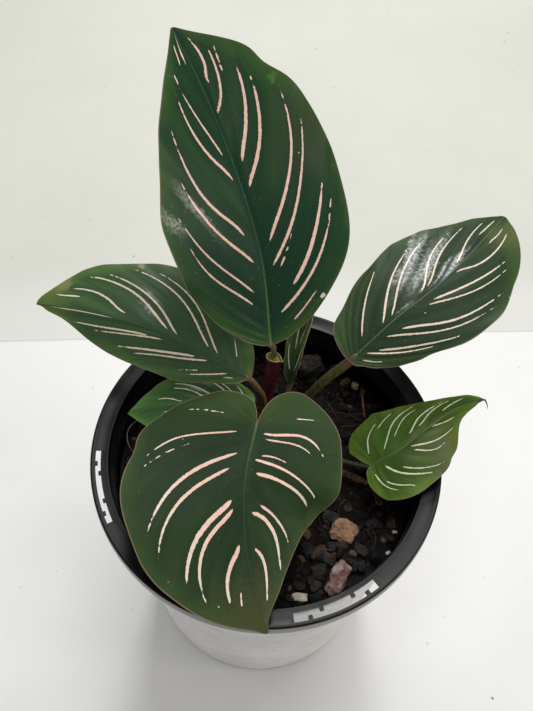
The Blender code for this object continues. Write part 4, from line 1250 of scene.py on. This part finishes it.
def mix_body():
    """Make the potting mix: a fine lumpy top drawn down to a body that fills the pot."""
    deselect()
    bpy.ops.mesh.primitive_grid_add(x_subdivisions=SOIL_CELLS, y_subdivisions=SOIL_CELLS, size=2)
    made = bpy.context.object
    for vertex in made.data.vertices:
        x, y = vertex.co.x, vertex.co.y
        x, y = x * math.sqrt(1 - y * y / 2), y * math.sqrt(1 - x * x / 2)
        x, y = x * SOIL_RADIUS, y * SOIL_RADIUS
        fine = 0.9 * noise(Vector((x, y, 80)) / 2.6) + 0.45 * noise(Vector((x, y, 120)) / 1.1)
        edge = max(0.0, math.hypot(x, y) - SOIL_RADIUS + 5) / 5
        vertex.co = Vector((x, y, soil_height(x, y) + fine * (1 - edge) - 0.8 * edge)) * MM
    activate(made)
    bpy.ops.object.mode_set(mode="EDIT")
    bpy.ops.mesh.select_all(action="SELECT")
    bpy.ops.mesh.region_to_loop()
    rings = ((SOIL_TOP - 8, SOIL_RADIUS - 0.8), (STEP_HEIGHT + 5, BASE_RADIUS - 2),
             (FLOOR_THICKNESS + 0.4, BASE_RADIUS - 4))
    height, radius = SOIL_TOP, SOIL_RADIUS
    for low, wide in rings:
        bpy.ops.mesh.extrude_edges_move(TRANSFORM_OT_translate={"value": (0, 0, (low - height) * MM)})
        scale = wide / radius
        bpy.ops.transform.resize(value=(scale, scale, 1), center_override=(0, 0, 0))
        height, radius = low, wide
    bpy.ops.mesh.edge_face_add()
    bpy.ops.mesh.select_all(action="SELECT")
    bpy.ops.mesh.normals_make_consistent(inside=False)
    bpy.ops.object.mode_set(mode="OBJECT")
    return made


def mix_finish(settings):
    """Damp potting mix: near black with brown bits and a few damp glints."""
    paint = Paint("damp_mix", roughness=0.9, specular_ior_level=0.22)
    place = paint.place()
    coarse = paint.noise(place, 190.0, 4.0, 0.65)
    fine = paint.noise(place, 900.0, 3.0, 0.7)
    body = paint.mix(paint.rise(coarse, 0.42, 0.72), settings.dark, settings.brown)
    body = paint.mix(paint.rise(fine, 0.60, 0.8) * 0.6, body, (0.055, 0.036, 0.026))
    body = paint.mix(paint.rise(fine, 0.30, 0.42, 1.0, 0.0) * 0.8, body, (0.003, 0.0025, 0.002))
    relief = paint.bump(fine, 0.5, paint.bump(coarse, 1.0))
    return paint.finish(base_color=body, roughness=paint.rise(coarse, 0.35, 0.65, 0.62, 0.96), normal=relief)


def crumb_finish():
    """Bark crumbs, each with its own tone."""
    paint = Paint("bark_crumbs", roughness=0.8, specular_ior_level=0.3)
    place = paint.place()
    tone = paint.attribute("tone")
    fine = paint.noise(place, 800.0, 3.0, 0.65)
    body = paint.ramp(tone + 0.25 * (fine - 0.5), *CRUMB_TONES)
    return paint.finish(base_color=body, roughness=paint.rise(fine, 0.3, 0.7, 0.5, 0.85),
                        normal=paint.bump(fine, 0.3))


def crumb_shapes(count, seed):
    """Model a few crumbs once, to be copied."""
    chance = random.Random(seed)
    shapes = []
    for _ in range(count):
        bm = bmesh.new()
        bmesh.ops.create_icosphere(bm, subdivisions=1, radius=1.0)
        shift = Vector([chance.uniform(0, 50) for _ in range(3)])
        for vertex in bm.verts:
            block = vertex.co / max(abs(axis) for axis in vertex.co)
            vertex.co = vertex.co.lerp(block, 0.5) * (1 + 0.35 * noise(vertex.co + shift))
        shapes.append(bm)
    return shapes


def scatter_crumbs(count):
    """Lay crumbs of bark evenly at random over the mix."""
    chance = random.Random(41)
    shapes = crumb_shapes(9, 5)
    whole = bmesh.new()
    layer = whole.verts.layers.float.new("tone")
    for _ in range(count):
        angle = chance.uniform(0, math.tau)
        radius = (SOIL_RADIUS - 3) * math.sqrt(chance.random())
        x, y = radius * math.cos(angle), radius * math.sin(angle)
        size = 0.5 + 3.6 * chance.random() ** 3.4
        flat = chance.uniform(0.35, 0.8)
        turn = Matrix.Rotation(chance.uniform(0, math.tau), 4, "Z")
        tilt = Matrix.Rotation(math.radians(chance.uniform(-35, 35)), 4, "X")
        grow = Matrix.Diagonal((size, size * chance.uniform(0.5, 0.95), size * flat, 1.0))
        lift = soil_height(x, y) + 0.25 * size * flat
        matrix = Matrix.Translation((x, y, lift)) @ turn @ tilt @ grow
        tone = chance.random() ** 0.9
        copies = {}
        shape = chance.choice(shapes)
        for vertex in shape.verts:
            made = whole.verts.new(matrix @ vertex.co * MM)
            made[layer] = tone
            copies[vertex] = made
        for face in shape.faces:
            whole.faces.new([copies[vertex] for vertex in face.verts])
    for shape in shapes:
        shape.free()
    mesh = bpy.data.meshes.new("crumbs")
    whole.to_mesh(mesh)
    whole.free()
    made = bpy.data.objects.new("crumbs", mesh)
    bpy.context.scene.collection.objects.link(made)
    return made


def scatter_fibres(count):
    """Lay fine roots and fibres on the mix."""
    chance = random.Random(77)
    chains = []
    for _ in range(count):
        angle = chance.uniform(0, math.tau)
        radius = (SOIL_RADIUS - 6) * math.sqrt(chance.random())
        x, y = radius * math.cos(angle), radius * math.sin(angle)
        heading = chance.uniform(0, math.tau)
        step = chance.uniform(0.8, 2.4)
        thick = chance.uniform(0.10, 0.24)
        chain = []
        for index in range(10):
            if math.hypot(x, y) > SOIL_RADIUS - 3:
                break
            arch = 1.2 * math.sin(math.pi * index / 9)
            chain.append(((x, y, soil_height(x, y) + 0.3 + arch), thick * (1 - 0.06 * index)))
            heading += chance.uniform(-0.5, 0.5)
            x += step * math.cos(heading)
            y += step * math.sin(heading)
        if len(chain) > 4:
            chains.append(chain)
    return rods("fibres", chains, 0)


def fibre_finish():
    """Dry tan fibres."""
    paint = Paint("fibres", roughness=0.85)
    tone = paint.noise(paint.place(), 60.0, 2.0)
    body = paint.mix(paint.rise(tone, 0.35, 0.65), (0.030, 0.016, 0.009), (0.20, 0.11, 0.055))
    return paint.finish(base_color=body)


class CALATHEA_OT_mix(bpy.types.Operator):
    """Model the potting mix with its crumbs, fibres and pale grains"""

    bl_idname = "calathea.mix"
    bl_label = "Potting mix"

    def execute(self, context):
        settings = context.scene.calathea_mix
        made = mix_body()
        skin = mix_finish(settings)
        finish_piece(made, "potting_mix_body", "potting_mix", "soil", materials=(skin,), sharp=60)
        made = scatter_crumbs(settings.crumbs)
        finish_piece(made, "mix_crumbs", "potting_mix", materials=(crumb_finish(),), sharp=35)
        made = scatter_fibres(settings.fibres)
        finish_piece(made, "mix_fibres", "pale_bark", materials=(fibre_finish(),))
        for index, (x, y) in enumerate(PALE_SPECKS):
            made = rough_lump((x, y, soil_height(x, y) + 0.8), (1.5, 1.0, 0.9), 40 * index, 3)
            skin = bark_finish(f"pale_grain_{index}", CHIP_COLOURS["bark_chip_cream"])
            finish_piece(made, f"pale_grain_{index}", "pale_bark", materials=(skin,), sharp=40)
        return {"FINISHED"}


def rough_lump(place, sizes, turn, subdivisions=5, detail=0.0):
    """Make a rough piece of bark from a ball pushed in and out by noise."""
    deselect()
    bpy.ops.mesh.primitive_ico_sphere_add(subdivisions=subdivisions, radius=1.0)
    made = bpy.context.object
    seed = Vector((place[0], place[1], 7.0))
    for vertex in made.data.vertices:
        rough = 1 + 0.28 * noise(vertex.co * 1.3 + seed)
        rough += 0.12 * noise(vertex.co * 3.1 + seed)
        rough += detail * noise(vertex.co * Vector((4, 7, 9)) + seed)
        rough += 0.5 * detail * noise(vertex.co * 15 + seed)
        block = vertex.co / max(abs(axis) for axis in vertex.co)
        shape = vertex.co.lerp(block, 0.35) * rough
        vertex.co = Vector([axis * size for axis, size in zip(shape, sizes)]) * MM
    made.location = Vector(place) * MM
    made.rotation_euler.z = math.radians(turn)
    settle(made)
    return made


def bark_finish(name, colours):
    """Bark: fibrous layers, worn edges and pits."""
    deep, body_colour, worn = colours
    paint = Paint(name + "_skin", roughness=0.85)
    place = paint.place()
    layers = paint.noise(paint.stretch(place, (220.0, 420.0, 900.0)), 1.0, 4.0, 0.6)
    pits = paint.noise(place, 700.0, 3.0, 0.6)
    patches = paint.noise(place, 150.0, 2.0)
    body = paint.mix(paint.rise(layers, 0.32, 0.6), deep, body_colour)
    body = paint.mix(paint.rise(patches, 0.45, 0.7) * 0.8, body, worn)
    body = paint.mix(paint.rise(pits, 0.3, 0.42, 1.0, 0.0) * 0.7, body, deep)
    relief = paint.bump(pits, 0.35, paint.bump(layers, 0.6))
    return paint.finish(base_color=body, roughness=paint.rise(pits, 0.3, 0.7, 0.65, 0.95), normal=relief)


def prill_finish():
    """A waxy grain of fertiliser."""
    paint = Paint("prill_skin", roughness=0.35)
    cloudy = paint.noise(paint.place(), 500.0, 3.0)
    body = paint.mix(cloudy, (0.22, 0.18, 0.09), (0.42, 0.36, 0.20))
    return paint.finish(base_color=body, roughness=paint.rise(cloudy, 0.3, 0.7, 0.25, 0.5))


class CALATHEA_OT_bark(bpy.types.Operator):
    """Model the bark chips and the grain of fertiliser"""

    bl_idname = "calathea.bark"
    bl_label = "Bark and fertiliser"

    def execute(self, context):
        for name, (place, sizes, turn) in CHIPS.items():
            made = rough_lump(place, sizes, turn, detail=0.08)
            slot = "pale_bark" if name in ("bark_chip_tan", "bark_chip_cream") else "bark"
            skin = bark_finish(name, CHIP_COLOURS[name])
            finish_piece(made, "rough_" + name, slot, name, materials=(skin,), sharp=60)
        skin = bark_finish("dark_bark", CHIP_COLOURS["bark_lump"])
        for index, (x, y, *sizes, turn) in enumerate(DARK_BITS):
            made = rough_lump((x, y, soil_height(x, y) + 0.6), sizes, turn, 4, 0.1)
            finish_piece(made, f"dark_bit_{index}", "bark", materials=(skin,), sharp=35)
        made = rough_lump(PRILL_PLACE, (PRILL_RADIUS,) * 3, 0, 4)
        finish_piece(made, "waxy_prill", "prill", "fertiliser_prill", materials=(prill_finish(),))
        return {"FINISHED"}


def arc(middle, radius, start, end, steps):
    """Points on part of a circle, for rounding a corner of a section."""
    points = []
    for step in range(steps + 1):
        angle = math.radians(start + (end - start) * step / steps)
        points.append((middle[0] + radius * math.cos(angle), middle[1] + radius * math.sin(angle)))
    return points


def pot_section(ridges):
    """The pot's section from the rim of its underside, up the outside and down the inside."""
    top_inside = RIM_RADIUS - FLANGE_WIDTH
    top_outside = top_inside + WALL
    under_flange = POT_HEIGHT - FLANGE_THICKNESS
    skirt_foot = POT_HEIGHT - SKIRT_DEPTH
    step_radius = BASE_RADIUS + STEP_HEIGHT * 0.07
    inside_step = step_radius + STEP_WIDTH - WALL
    floor_radius = BASE_RADIUS - WALL
    low = (step_radius + STEP_WIDTH, STEP_HEIGHT + 1.3)
    section = [(BASE_RADIUS - 3.0, 0.0), *arc((BASE_RADIUS - 1.5, 1.5), 1.5, -80, 0, 5)]
    section += [(step_radius, STEP_HEIGHT - 0.3), (step_radius + 0.15, STEP_HEIGHT + 0.1),
                (step_radius + STEP_WIDTH - 0.1, STEP_HEIGHT + 0.8), low]
    for share in (0.1, 0.2, 0.3, 0.4, 0.5, 0.6, 0.7, 0.8, 0.9, 0.97):
        section.append((low[0] + (top_outside - low[0]) * share, low[1] + (under_flange - low[1]) * share))
    section += [(top_outside + 0.5, under_flange), (RIM_RADIUS - SKIRT_THICKNESS - 0.3, under_flange),
                (RIM_RADIUS - SKIRT_THICKNESS, under_flange - 0.4),
                (RIM_RADIUS - SKIRT_THICKNESS + 0.45, skirt_foot + 0.3)]
    section += arc((RIM_RADIUS - SKIRT_THICKNESS + 0.95, skirt_foot + 0.4), 0.4, 200, 360, 5)
    section += [(RIM_RADIUS + 0.25, POT_HEIGHT - 4.5), (RIM_RADIUS + 0.05, POT_HEIGHT - 1.6)]
    section += arc((RIM_RADIUS - 0.9, POT_HEIGHT - 0.9), 0.9, 0, 90, 6)
    section += [(RIM_RADIUS - 1.9, POT_HEIGHT), (RIM_RADIUS - 2.2, POT_HEIGHT - 0.18)]
    section += [(top_inside + 1.4, POT_HEIGHT - 0.18)]
    section += arc((top_inside + 0.8, POT_HEIGHT - 0.8), 0.7, 90, 180, 6)
    low = (inside_step, STEP_HEIGHT + 2.0)
    slope = (top_inside - low[0]) / (POT_HEIGHT - low[1])
    for index in range(ridges):
        height = POT_HEIGHT - RIDGE_TOP - RIDGE_SPACING * index
        wall = low[0] + slope * (height - low[1])
        crest = wall - RIDGE_DEPTH
        section += [(wall, height + RIDGE_HALF), (crest, height + RIDGE_HALF / 2),
                    (crest, height - RIDGE_HALF / 2), (wall, height - RIDGE_HALF)]
    for share in (0.75, 0.5, 0.25, 0.0):
        height = low[1] + (POT_HEIGHT - 24 - low[1]) * share
        section.append((low[0] + slope * (height - low[1]), height))
    section += [(floor_radius, STEP_HEIGHT), (floor_radius - 0.4, FLOOR_THICKNESS + 0.6),
                (floor_radius - 1.0, FLOOR_THICKNESS)]
    return section


def drawn_up(section, sides):
    """Make a turned shell as by hand: a disc drawn up ring by ring along a section."""
    deselect()
    radius, height = section[0]
    bpy.ops.mesh.primitive_circle_add(vertices=sides, radius=radius * MM, fill_type="NGON",
                                      location=(0, 0, height * MM))
    made = bpy.context.object
    settle(made)
    bpy.ops.object.mode_set(mode="EDIT")
    bpy.ops.mesh.select_all(action="SELECT")
    for (old, low), (wide, high) in zip(section, section[1:]):
        bpy.ops.mesh.extrude_region_move(TRANSFORM_OT_translate={"value": (0, 0, (high - low) * MM)})
        bpy.ops.transform.resize(value=(wide / old, wide / old, 1), center_override=(0, 0, 0))
    bpy.ops.mesh.select_all(action="SELECT")
    bpy.ops.mesh.normals_make_consistent(inside=False)
    bpy.ops.object.mode_set(mode="OBJECT")
    return made


def bent_block(inner, outer, low, high, start, end):
    """Make a block bent round the Z axis between two angles."""
    deselect()
    bpy.ops.mesh.primitive_cube_add(size=1)
    made = bpy.context.object
    bm = bmesh.new()
    bm.from_mesh(made.data)
    across = [edge for edge in bm.edges if abs((edge.verts[0].co - edge.verts[1].co).x) > 0.5]
    cuts = max(1, round(abs(end - start)))
    bmesh.ops.subdivide_edges(bm, edges=across, cuts=cuts, use_grid_fill=True)
    for vertex in bm.verts:
        angle = math.radians(start + (vertex.co.x + 0.5) * (end - start))
        radius = inner + (vertex.co.y + 0.5) * (outer - inner)
        height = low + (vertex.co.z + 0.5) * (high - low)
        vertex.co = Vector((radius * math.cos(angle), radius * math.sin(angle), height)) * MM
    bmesh.ops.reverse_faces(bm, faces=bm.faces)
    bm.to_mesh(made.data)
    bm.free()
    return made


def cut(target, tool):
    """Cut one mesh out of another."""
    apply_modifier(target, "BOOLEAN", operation="DIFFERENCE", solver="EXACT", object=tool)
    bpy.data.objects.remove(tool)


def cut_label_slots(made):
    """Cut the two label slots through the rim and leave their teeth standing."""
    low = POT_HEIGHT - FLANGE_THICKNESS
    for start, end, inner, outer in SLOTS:
        slot = bent_block(inner, outer, low - 1, POT_HEIGHT + 1, start, end)
        reach = (outer - inner) * TOOTH_REACH
        for place, inside in TEETH:
            middle = start + (end - start) * place
            half = math.degrees(TOOTH_WIDTH / 2 / outer)
            span = (inner - 1, inner + reach) if inside else (outer - reach, outer + 1)
            cut(slot, bent_block(*span, low - 2, POT_HEIGHT + 2, middle - half, middle + half))
        apply_modifier(slot, "BEVEL", width=0.5 * MM, segments=2, limit_method="ANGLE",
                       angle_limit=math.radians(60))
        cut(made, slot)


def cut_drainage_holes(made):
    """Cut the ring of drainage holes through the floor."""
    for index in range(HOLE_COUNT):
        angle = math.tau * (index + 0.5) / HOLE_COUNT
        deselect()
        place = Vector((math.cos(angle), math.sin(angle), 0)) * HOLE_RING * MM
        bpy.ops.mesh.primitive_cylinder_add(vertices=40, radius=HOLE_RADIUS * MM,
                                            depth=3 * FLOOR_THICKNESS * MM, location=place)
        cut(made, bpy.context.object)


def colour_pot_faces(made):
    """Give the outside of the pot the grey plastic and the rest the black."""
    widening = RIM_RADIUS - FLANGE_WIDTH + WALL / 2 - BASE_RADIUS
    for face in made.data.polygons:
        place = face.center / MM
        radius = math.hypot(place.x, place.y)
        outward = (face.normal.x * place.x + face.normal.y * place.y) / max(radius, 1.0)
        wall = BASE_RADIUS - WALL / 2 + widening * place.z / POT_HEIGHT
        outside = radius > wall and place.z < POT_HEIGHT - 1.5 and outward > 0.1
        face.material_index = 1 if outside or place.z < 0.5 else 0


def black_plastic(settings):
    """Black moulded plastic, satin, with fine scratches and a little dust."""
    paint = Paint("black_plastic", roughness=0.4, specular_ior_level=0.4)
    place = paint.place()
    cloudy = paint.noise(place, 28.0, 4.0, 0.6)
    scratches = paint.noise(paint.stretch(place, (90.0, 1300.0, 500.0)), 1.0, 2.0, 0.7)
    grain = paint.noise(place, 1500.0, 1.0)
    dust = paint.rise(cloudy, 0.5, 0.75)
    body = paint.mix(dust * 0.35, settings.black, (0.055, 0.054, 0.060))
    body = paint.mix(paint.rise(scratches, 0.66, 0.74) * 0.25, body, (0.12, 0.12, 0.12))
    rough = paint.rise(cloudy, 0.25, 0.75, 0.34, 0.52)
    return paint.finish(base_color=body, roughness=rough, normal=paint.bump(grain, 0.02))


def grey_plastic(settings):
    """Pale grey moulded plastic, scuffed, with brown smears of old mix and painted shade along its foot."""
    paint = Paint("grey_plastic", roughness=0.45)
    place = paint.place()
    cloudy = paint.noise(place, 22.0, 4.0, 0.6)
    smears = paint.noise(paint.stretch(place, (38.0, 38.0, 90.0)), 1.0, 4.0, 0.65)
    scuffs = paint.noise(paint.stretch(place, (50.0, 50.0, 1300.0)), 1.0, 3.0, 0.7)
    specks = paint.rise(paint.noise(place, 700.0, 1.0), 0.70, 0.78)
    pale = [min(1.0, channel * 1.25) for channel in settings.grey]
    body = paint.mix(paint.rise(cloudy, 0.3, 0.7), settings.grey, pale)
    body = paint.mix(paint.rise(smears, 0.5, 0.72) * 0.28, body, (0.33, 0.27, 0.25))
    body = paint.mix(paint.rise(scuffs, 0.60, 0.66) * 0.5, body, (0.14, 0.12, 0.115))
    body = paint.mix(specks * 0.6, body, (0.12, 0.09, 0.075))
    height = paint.part(place, 2) / MM
    # Painted shade: a dark band along the foot of the outside wall, just above the bench
    painted_foot_shade = paint.rise(height + cloudy * 2.0, 1.0, 3.2, 0.75, 0.0)
    body = paint.mix(painted_foot_shade, body, (0.06, 0.055, 0.05))
    skirt = paint.rise(height, POT_HEIGHT - SKIRT_DEPTH - 1.5, POT_HEIGHT - SKIRT_DEPTH - 0.5)
    body = paint.mix(skirt * 0.8, body, (0.125, 0.122, 0.118))
    rough = paint.rise(cloudy, 0.25, 0.75, 0.36, 0.58)
    return paint.finish(base_color=body, roughness=rough, normal=paint.bump(scuffs, 0.03))


class CALATHEA_OT_pot(bpy.types.Operator):
    """Model the nursery pot with its rim, label slots and drainage holes"""

    bl_idname = "calathea.pot"
    bl_label = "Pot"

    def execute(self, context):
        settings = context.scene.calathea_pot
        made = drawn_up(pot_section(settings.ridges), POT_SIDES)
        cut_label_slots(made)
        cut_drainage_holes(made)
        skins = (black_plastic(settings), grey_plastic(settings))
        finish_piece(made, "nursery_pot", "pot_plastic", "pot", materials=skins, sharp=35)
        colour_pot_faces(made)
        return {"FINISHED"}


def floor_finish(settings):
    """A painted bench with faint stains and specks, with painted shade at its front left, before a cream
    wall.
    """
    paint = Paint("bench_paint", roughness=0.55)
    place = paint.place()
    cloudy = paint.noise(place, 3.5, 5.0, 0.6)
    grit = paint.noise(place, 160.0, 1.0)
    specks = paint.rise(grit, 0.76, 0.80)
    across = paint.part(place, 0)
    back = paint.part(place, 1) - 0.09 * across
    # Painted shade: the bench darkens toward its front left, down to 0.72 of its colour
    near = paint.rise(across * 0.5 + back, -0.33, -0.12, 0.72, 1.0)
    body = paint.mix(near, (0.0, 0.0, 0.0), settings.floor)
    ledge = paint.rise(back, 0.208, 0.212)
    body = paint.mix(ledge, body, blend(0.6, settings.floor, settings.wall))
    body = paint.mix(paint.rise(back, 0.23, 0.30), body, settings.wall)
    seam = paint.rise(abs(back - 0.209 + 0.004 * (cloudy - 0.5)), 0.0005, 0.002, 1.0, 0.0)
    body = paint.mix(seam * 0.35, body, (0.36, 0.35, 0.32))
    body = paint.mix(paint.rise(cloudy, 0.35, 0.7, 0.0, 0.07), body, (0.0, 0.0, 0.0))
    body = paint.mix(specks * 0.35, body, (0.30, 0.28, 0.25))
    body = paint.mix(paint.dots(place, 26.0, 0.028) * 0.8, body, (0.10, 0.09, 0.08))
    return paint.finish(base_color=body)


def add_light(name, azimuth, height, distance, size, brightness, gleams=True):
    """Put up a soft light that faces the plant, its azimuth measured from straight behind it."""
    turn, lift = math.radians(azimuth), math.radians(height)
    away = Vector((math.sin(turn) * math.cos(lift), math.cos(turn) * math.cos(lift), math.sin(lift)))
    deselect()
    bpy.ops.object.light_add(type="AREA", location=Vector(PLANT_MIDDLE) + away * distance)
    made = bpy.context.object
    made.name = name
    made.data.shape = "RECTANGLE"
    made.data.size, made.data.size_y = size
    made.data.energy = brightness * math.pi * size[0] * size[1]
    made.rotation_euler = away.to_track_quat("Z", "Y").to_euler()
    made.visible_glossy = gleams
    return made


def add_camera():
    """Put up the camera at the plant's front, looking steeply down."""
    pitch, roll = math.radians(CAMERA_PITCH), math.radians(CAMERA_ROLL)
    forward = Vector((0, math.cos(pitch), -math.sin(pitch)))
    level = Vector((1, 0, 0))
    steep = Vector((0, math.sin(pitch), math.cos(pitch)))
    right = level * math.cos(roll) + steep * math.sin(roll)
    up = steep * math.cos(roll) - level * math.sin(roll)
    deselect()
    bpy.ops.object.camera_add()
    camera = bpy.context.object
    camera.data.sensor_fit = "HORIZONTAL"
    camera.data.sensor_width = 36.0
    camera.data.lens = CAMERA_LENS
    camera.data.dof.use_dof = False
    turn = Matrix((right, up, -forward)).transposed().to_4x4()
    camera.matrix_world = Matrix.Translation(Vector(CAMERA_PLACE) * MM) @ turn
    bpy.context.scene.camera = camera


def light_room(settings):
    """Light the world evenly, and dimmer where it would be mirrored."""
    world = bpy.data.worlds.new("room")
    world.use_nodes = True
    nodes, links = world.node_tree.nodes, world.node_tree.links
    path = nodes.new("ShaderNodeLightPath")
    strength = nodes.new("ShaderNodeMapRange")
    strength.inputs["To Min"].default_value = settings.room
    strength.inputs["To Max"].default_value = settings.room * 0.15
    background = nodes["Background"]
    background.inputs["Color"].default_value = (1.0, 0.995, 0.985, 1.0)
    links.new(path.outputs["Is Glossy Ray"], strength.inputs["Value"])
    links.new(strength.outputs["Result"], background.inputs["Strength"])
    bpy.context.scene.world = world


class CALATHEA_OT_stage(bpy.types.Operator):
    """Set up the pale floor, the soft light and the camera"""

    bl_idname = "calathea.stage"
    bl_label = "Stage"

    def execute(self, context):
        settings = context.scene.calathea_stage
        deselect()
        bpy.ops.mesh.primitive_plane_add(size=6.0)
        floor = context.object
        floor.name = "bench"
        floor.data.materials.append(floor_finish(settings))
        light_room(settings)
        add_light("key", 40, 55, 2.6, (1.3, 1.3), settings.key, gleams=False)
        add_light("fill", 188, 25, 2.4, (1.6, 1.0), settings.fill, gleams=False)
        add_light("window", 0, 42, 2.2, (0.50, 0.85), settings.window)
        side_window = add_light("side_window", 99, 16, 2.2, (0.50, 0.50), settings.window * 0.7)
        side_window.data.color = (1.0, 0.93, 0.80)
        add_light("ceiling", 20, 77, 2.2, (0.80, 0.50), settings.window * 0.6)
        add_camera()
        context.scene.view_settings.view_transform = "Standard"
        return {"FINISHED"}


class CALATHEA_PT_panel(bpy.types.Panel):
    """Lists what the add-on builds"""

    bl_label = "Calathea"
    bl_space_type = "VIEW_3D"
    bl_region_type = "UI"
    bl_category = "Calathea"

    def draw(self, context):
        for operator, group in STEPS:
            self.layout.operator(operator.bl_idname)
            if group:
                settings = getattr(context.scene, group)
                for name in settings.__annotations__:
                    self.layout.prop(settings, name)


STEPS = (
    (CALATHEA_OT_stage, "calathea_stage"),
    (CALATHEA_OT_pot, "calathea_pot"),
    (CALATHEA_OT_mix, "calathea_mix"),
    (CALATHEA_OT_bark, None),
    (CALATHEA_OT_wood, None),
    (CALATHEA_OT_sheath, None),
    (CALATHEA_OT_leaves, "calathea_leaves"),
)
GROUPS = {
    "calathea_stage": CalatheaStageSettings,
    "calathea_pot": CalatheaPotSettings,
    "calathea_mix": CalatheaMixSettings,
    "calathea_leaves": CalatheaLeafSettings,
}


def register():
    """Register the settings, the operators and the panel."""
    for name, group in GROUPS.items():
        bpy.utils.register_class(group)
        setattr(bpy.types.Scene, name, PointerProperty(type=group))
    for operator, _ in STEPS:
        bpy.utils.register_class(operator)
    bpy.utils.register_class(CALATHEA_PT_panel)


def unregister():
    """Take back what register did."""
    bpy.utils.unregister_class(CALATHEA_PT_panel)
    for operator, _ in reversed(STEPS):
        bpy.utils.unregister_class(operator)
    for name, group in GROUPS.items():
        delattr(bpy.types.Scene, name)
        bpy.utils.unregister_class(group)


def main():
    """Build the whole scene."""
    register()
    for thing in list(bpy.data.objects):
        if thing.type in {"CAMERA", "LIGHT"} or thing.name == "Cube":
            bpy.data.objects.remove(thing)
    bpy.ops.calathea.stage()
    bpy.ops.calathea.pot()
    bpy.ops.calathea.mix()
    bpy.ops.calathea.bark()
    bpy.ops.calathea.wood()
    bpy.ops.calathea.sheath()
    bpy.ops.calathea.leaves()


if __name__ == "__main__":
    main()
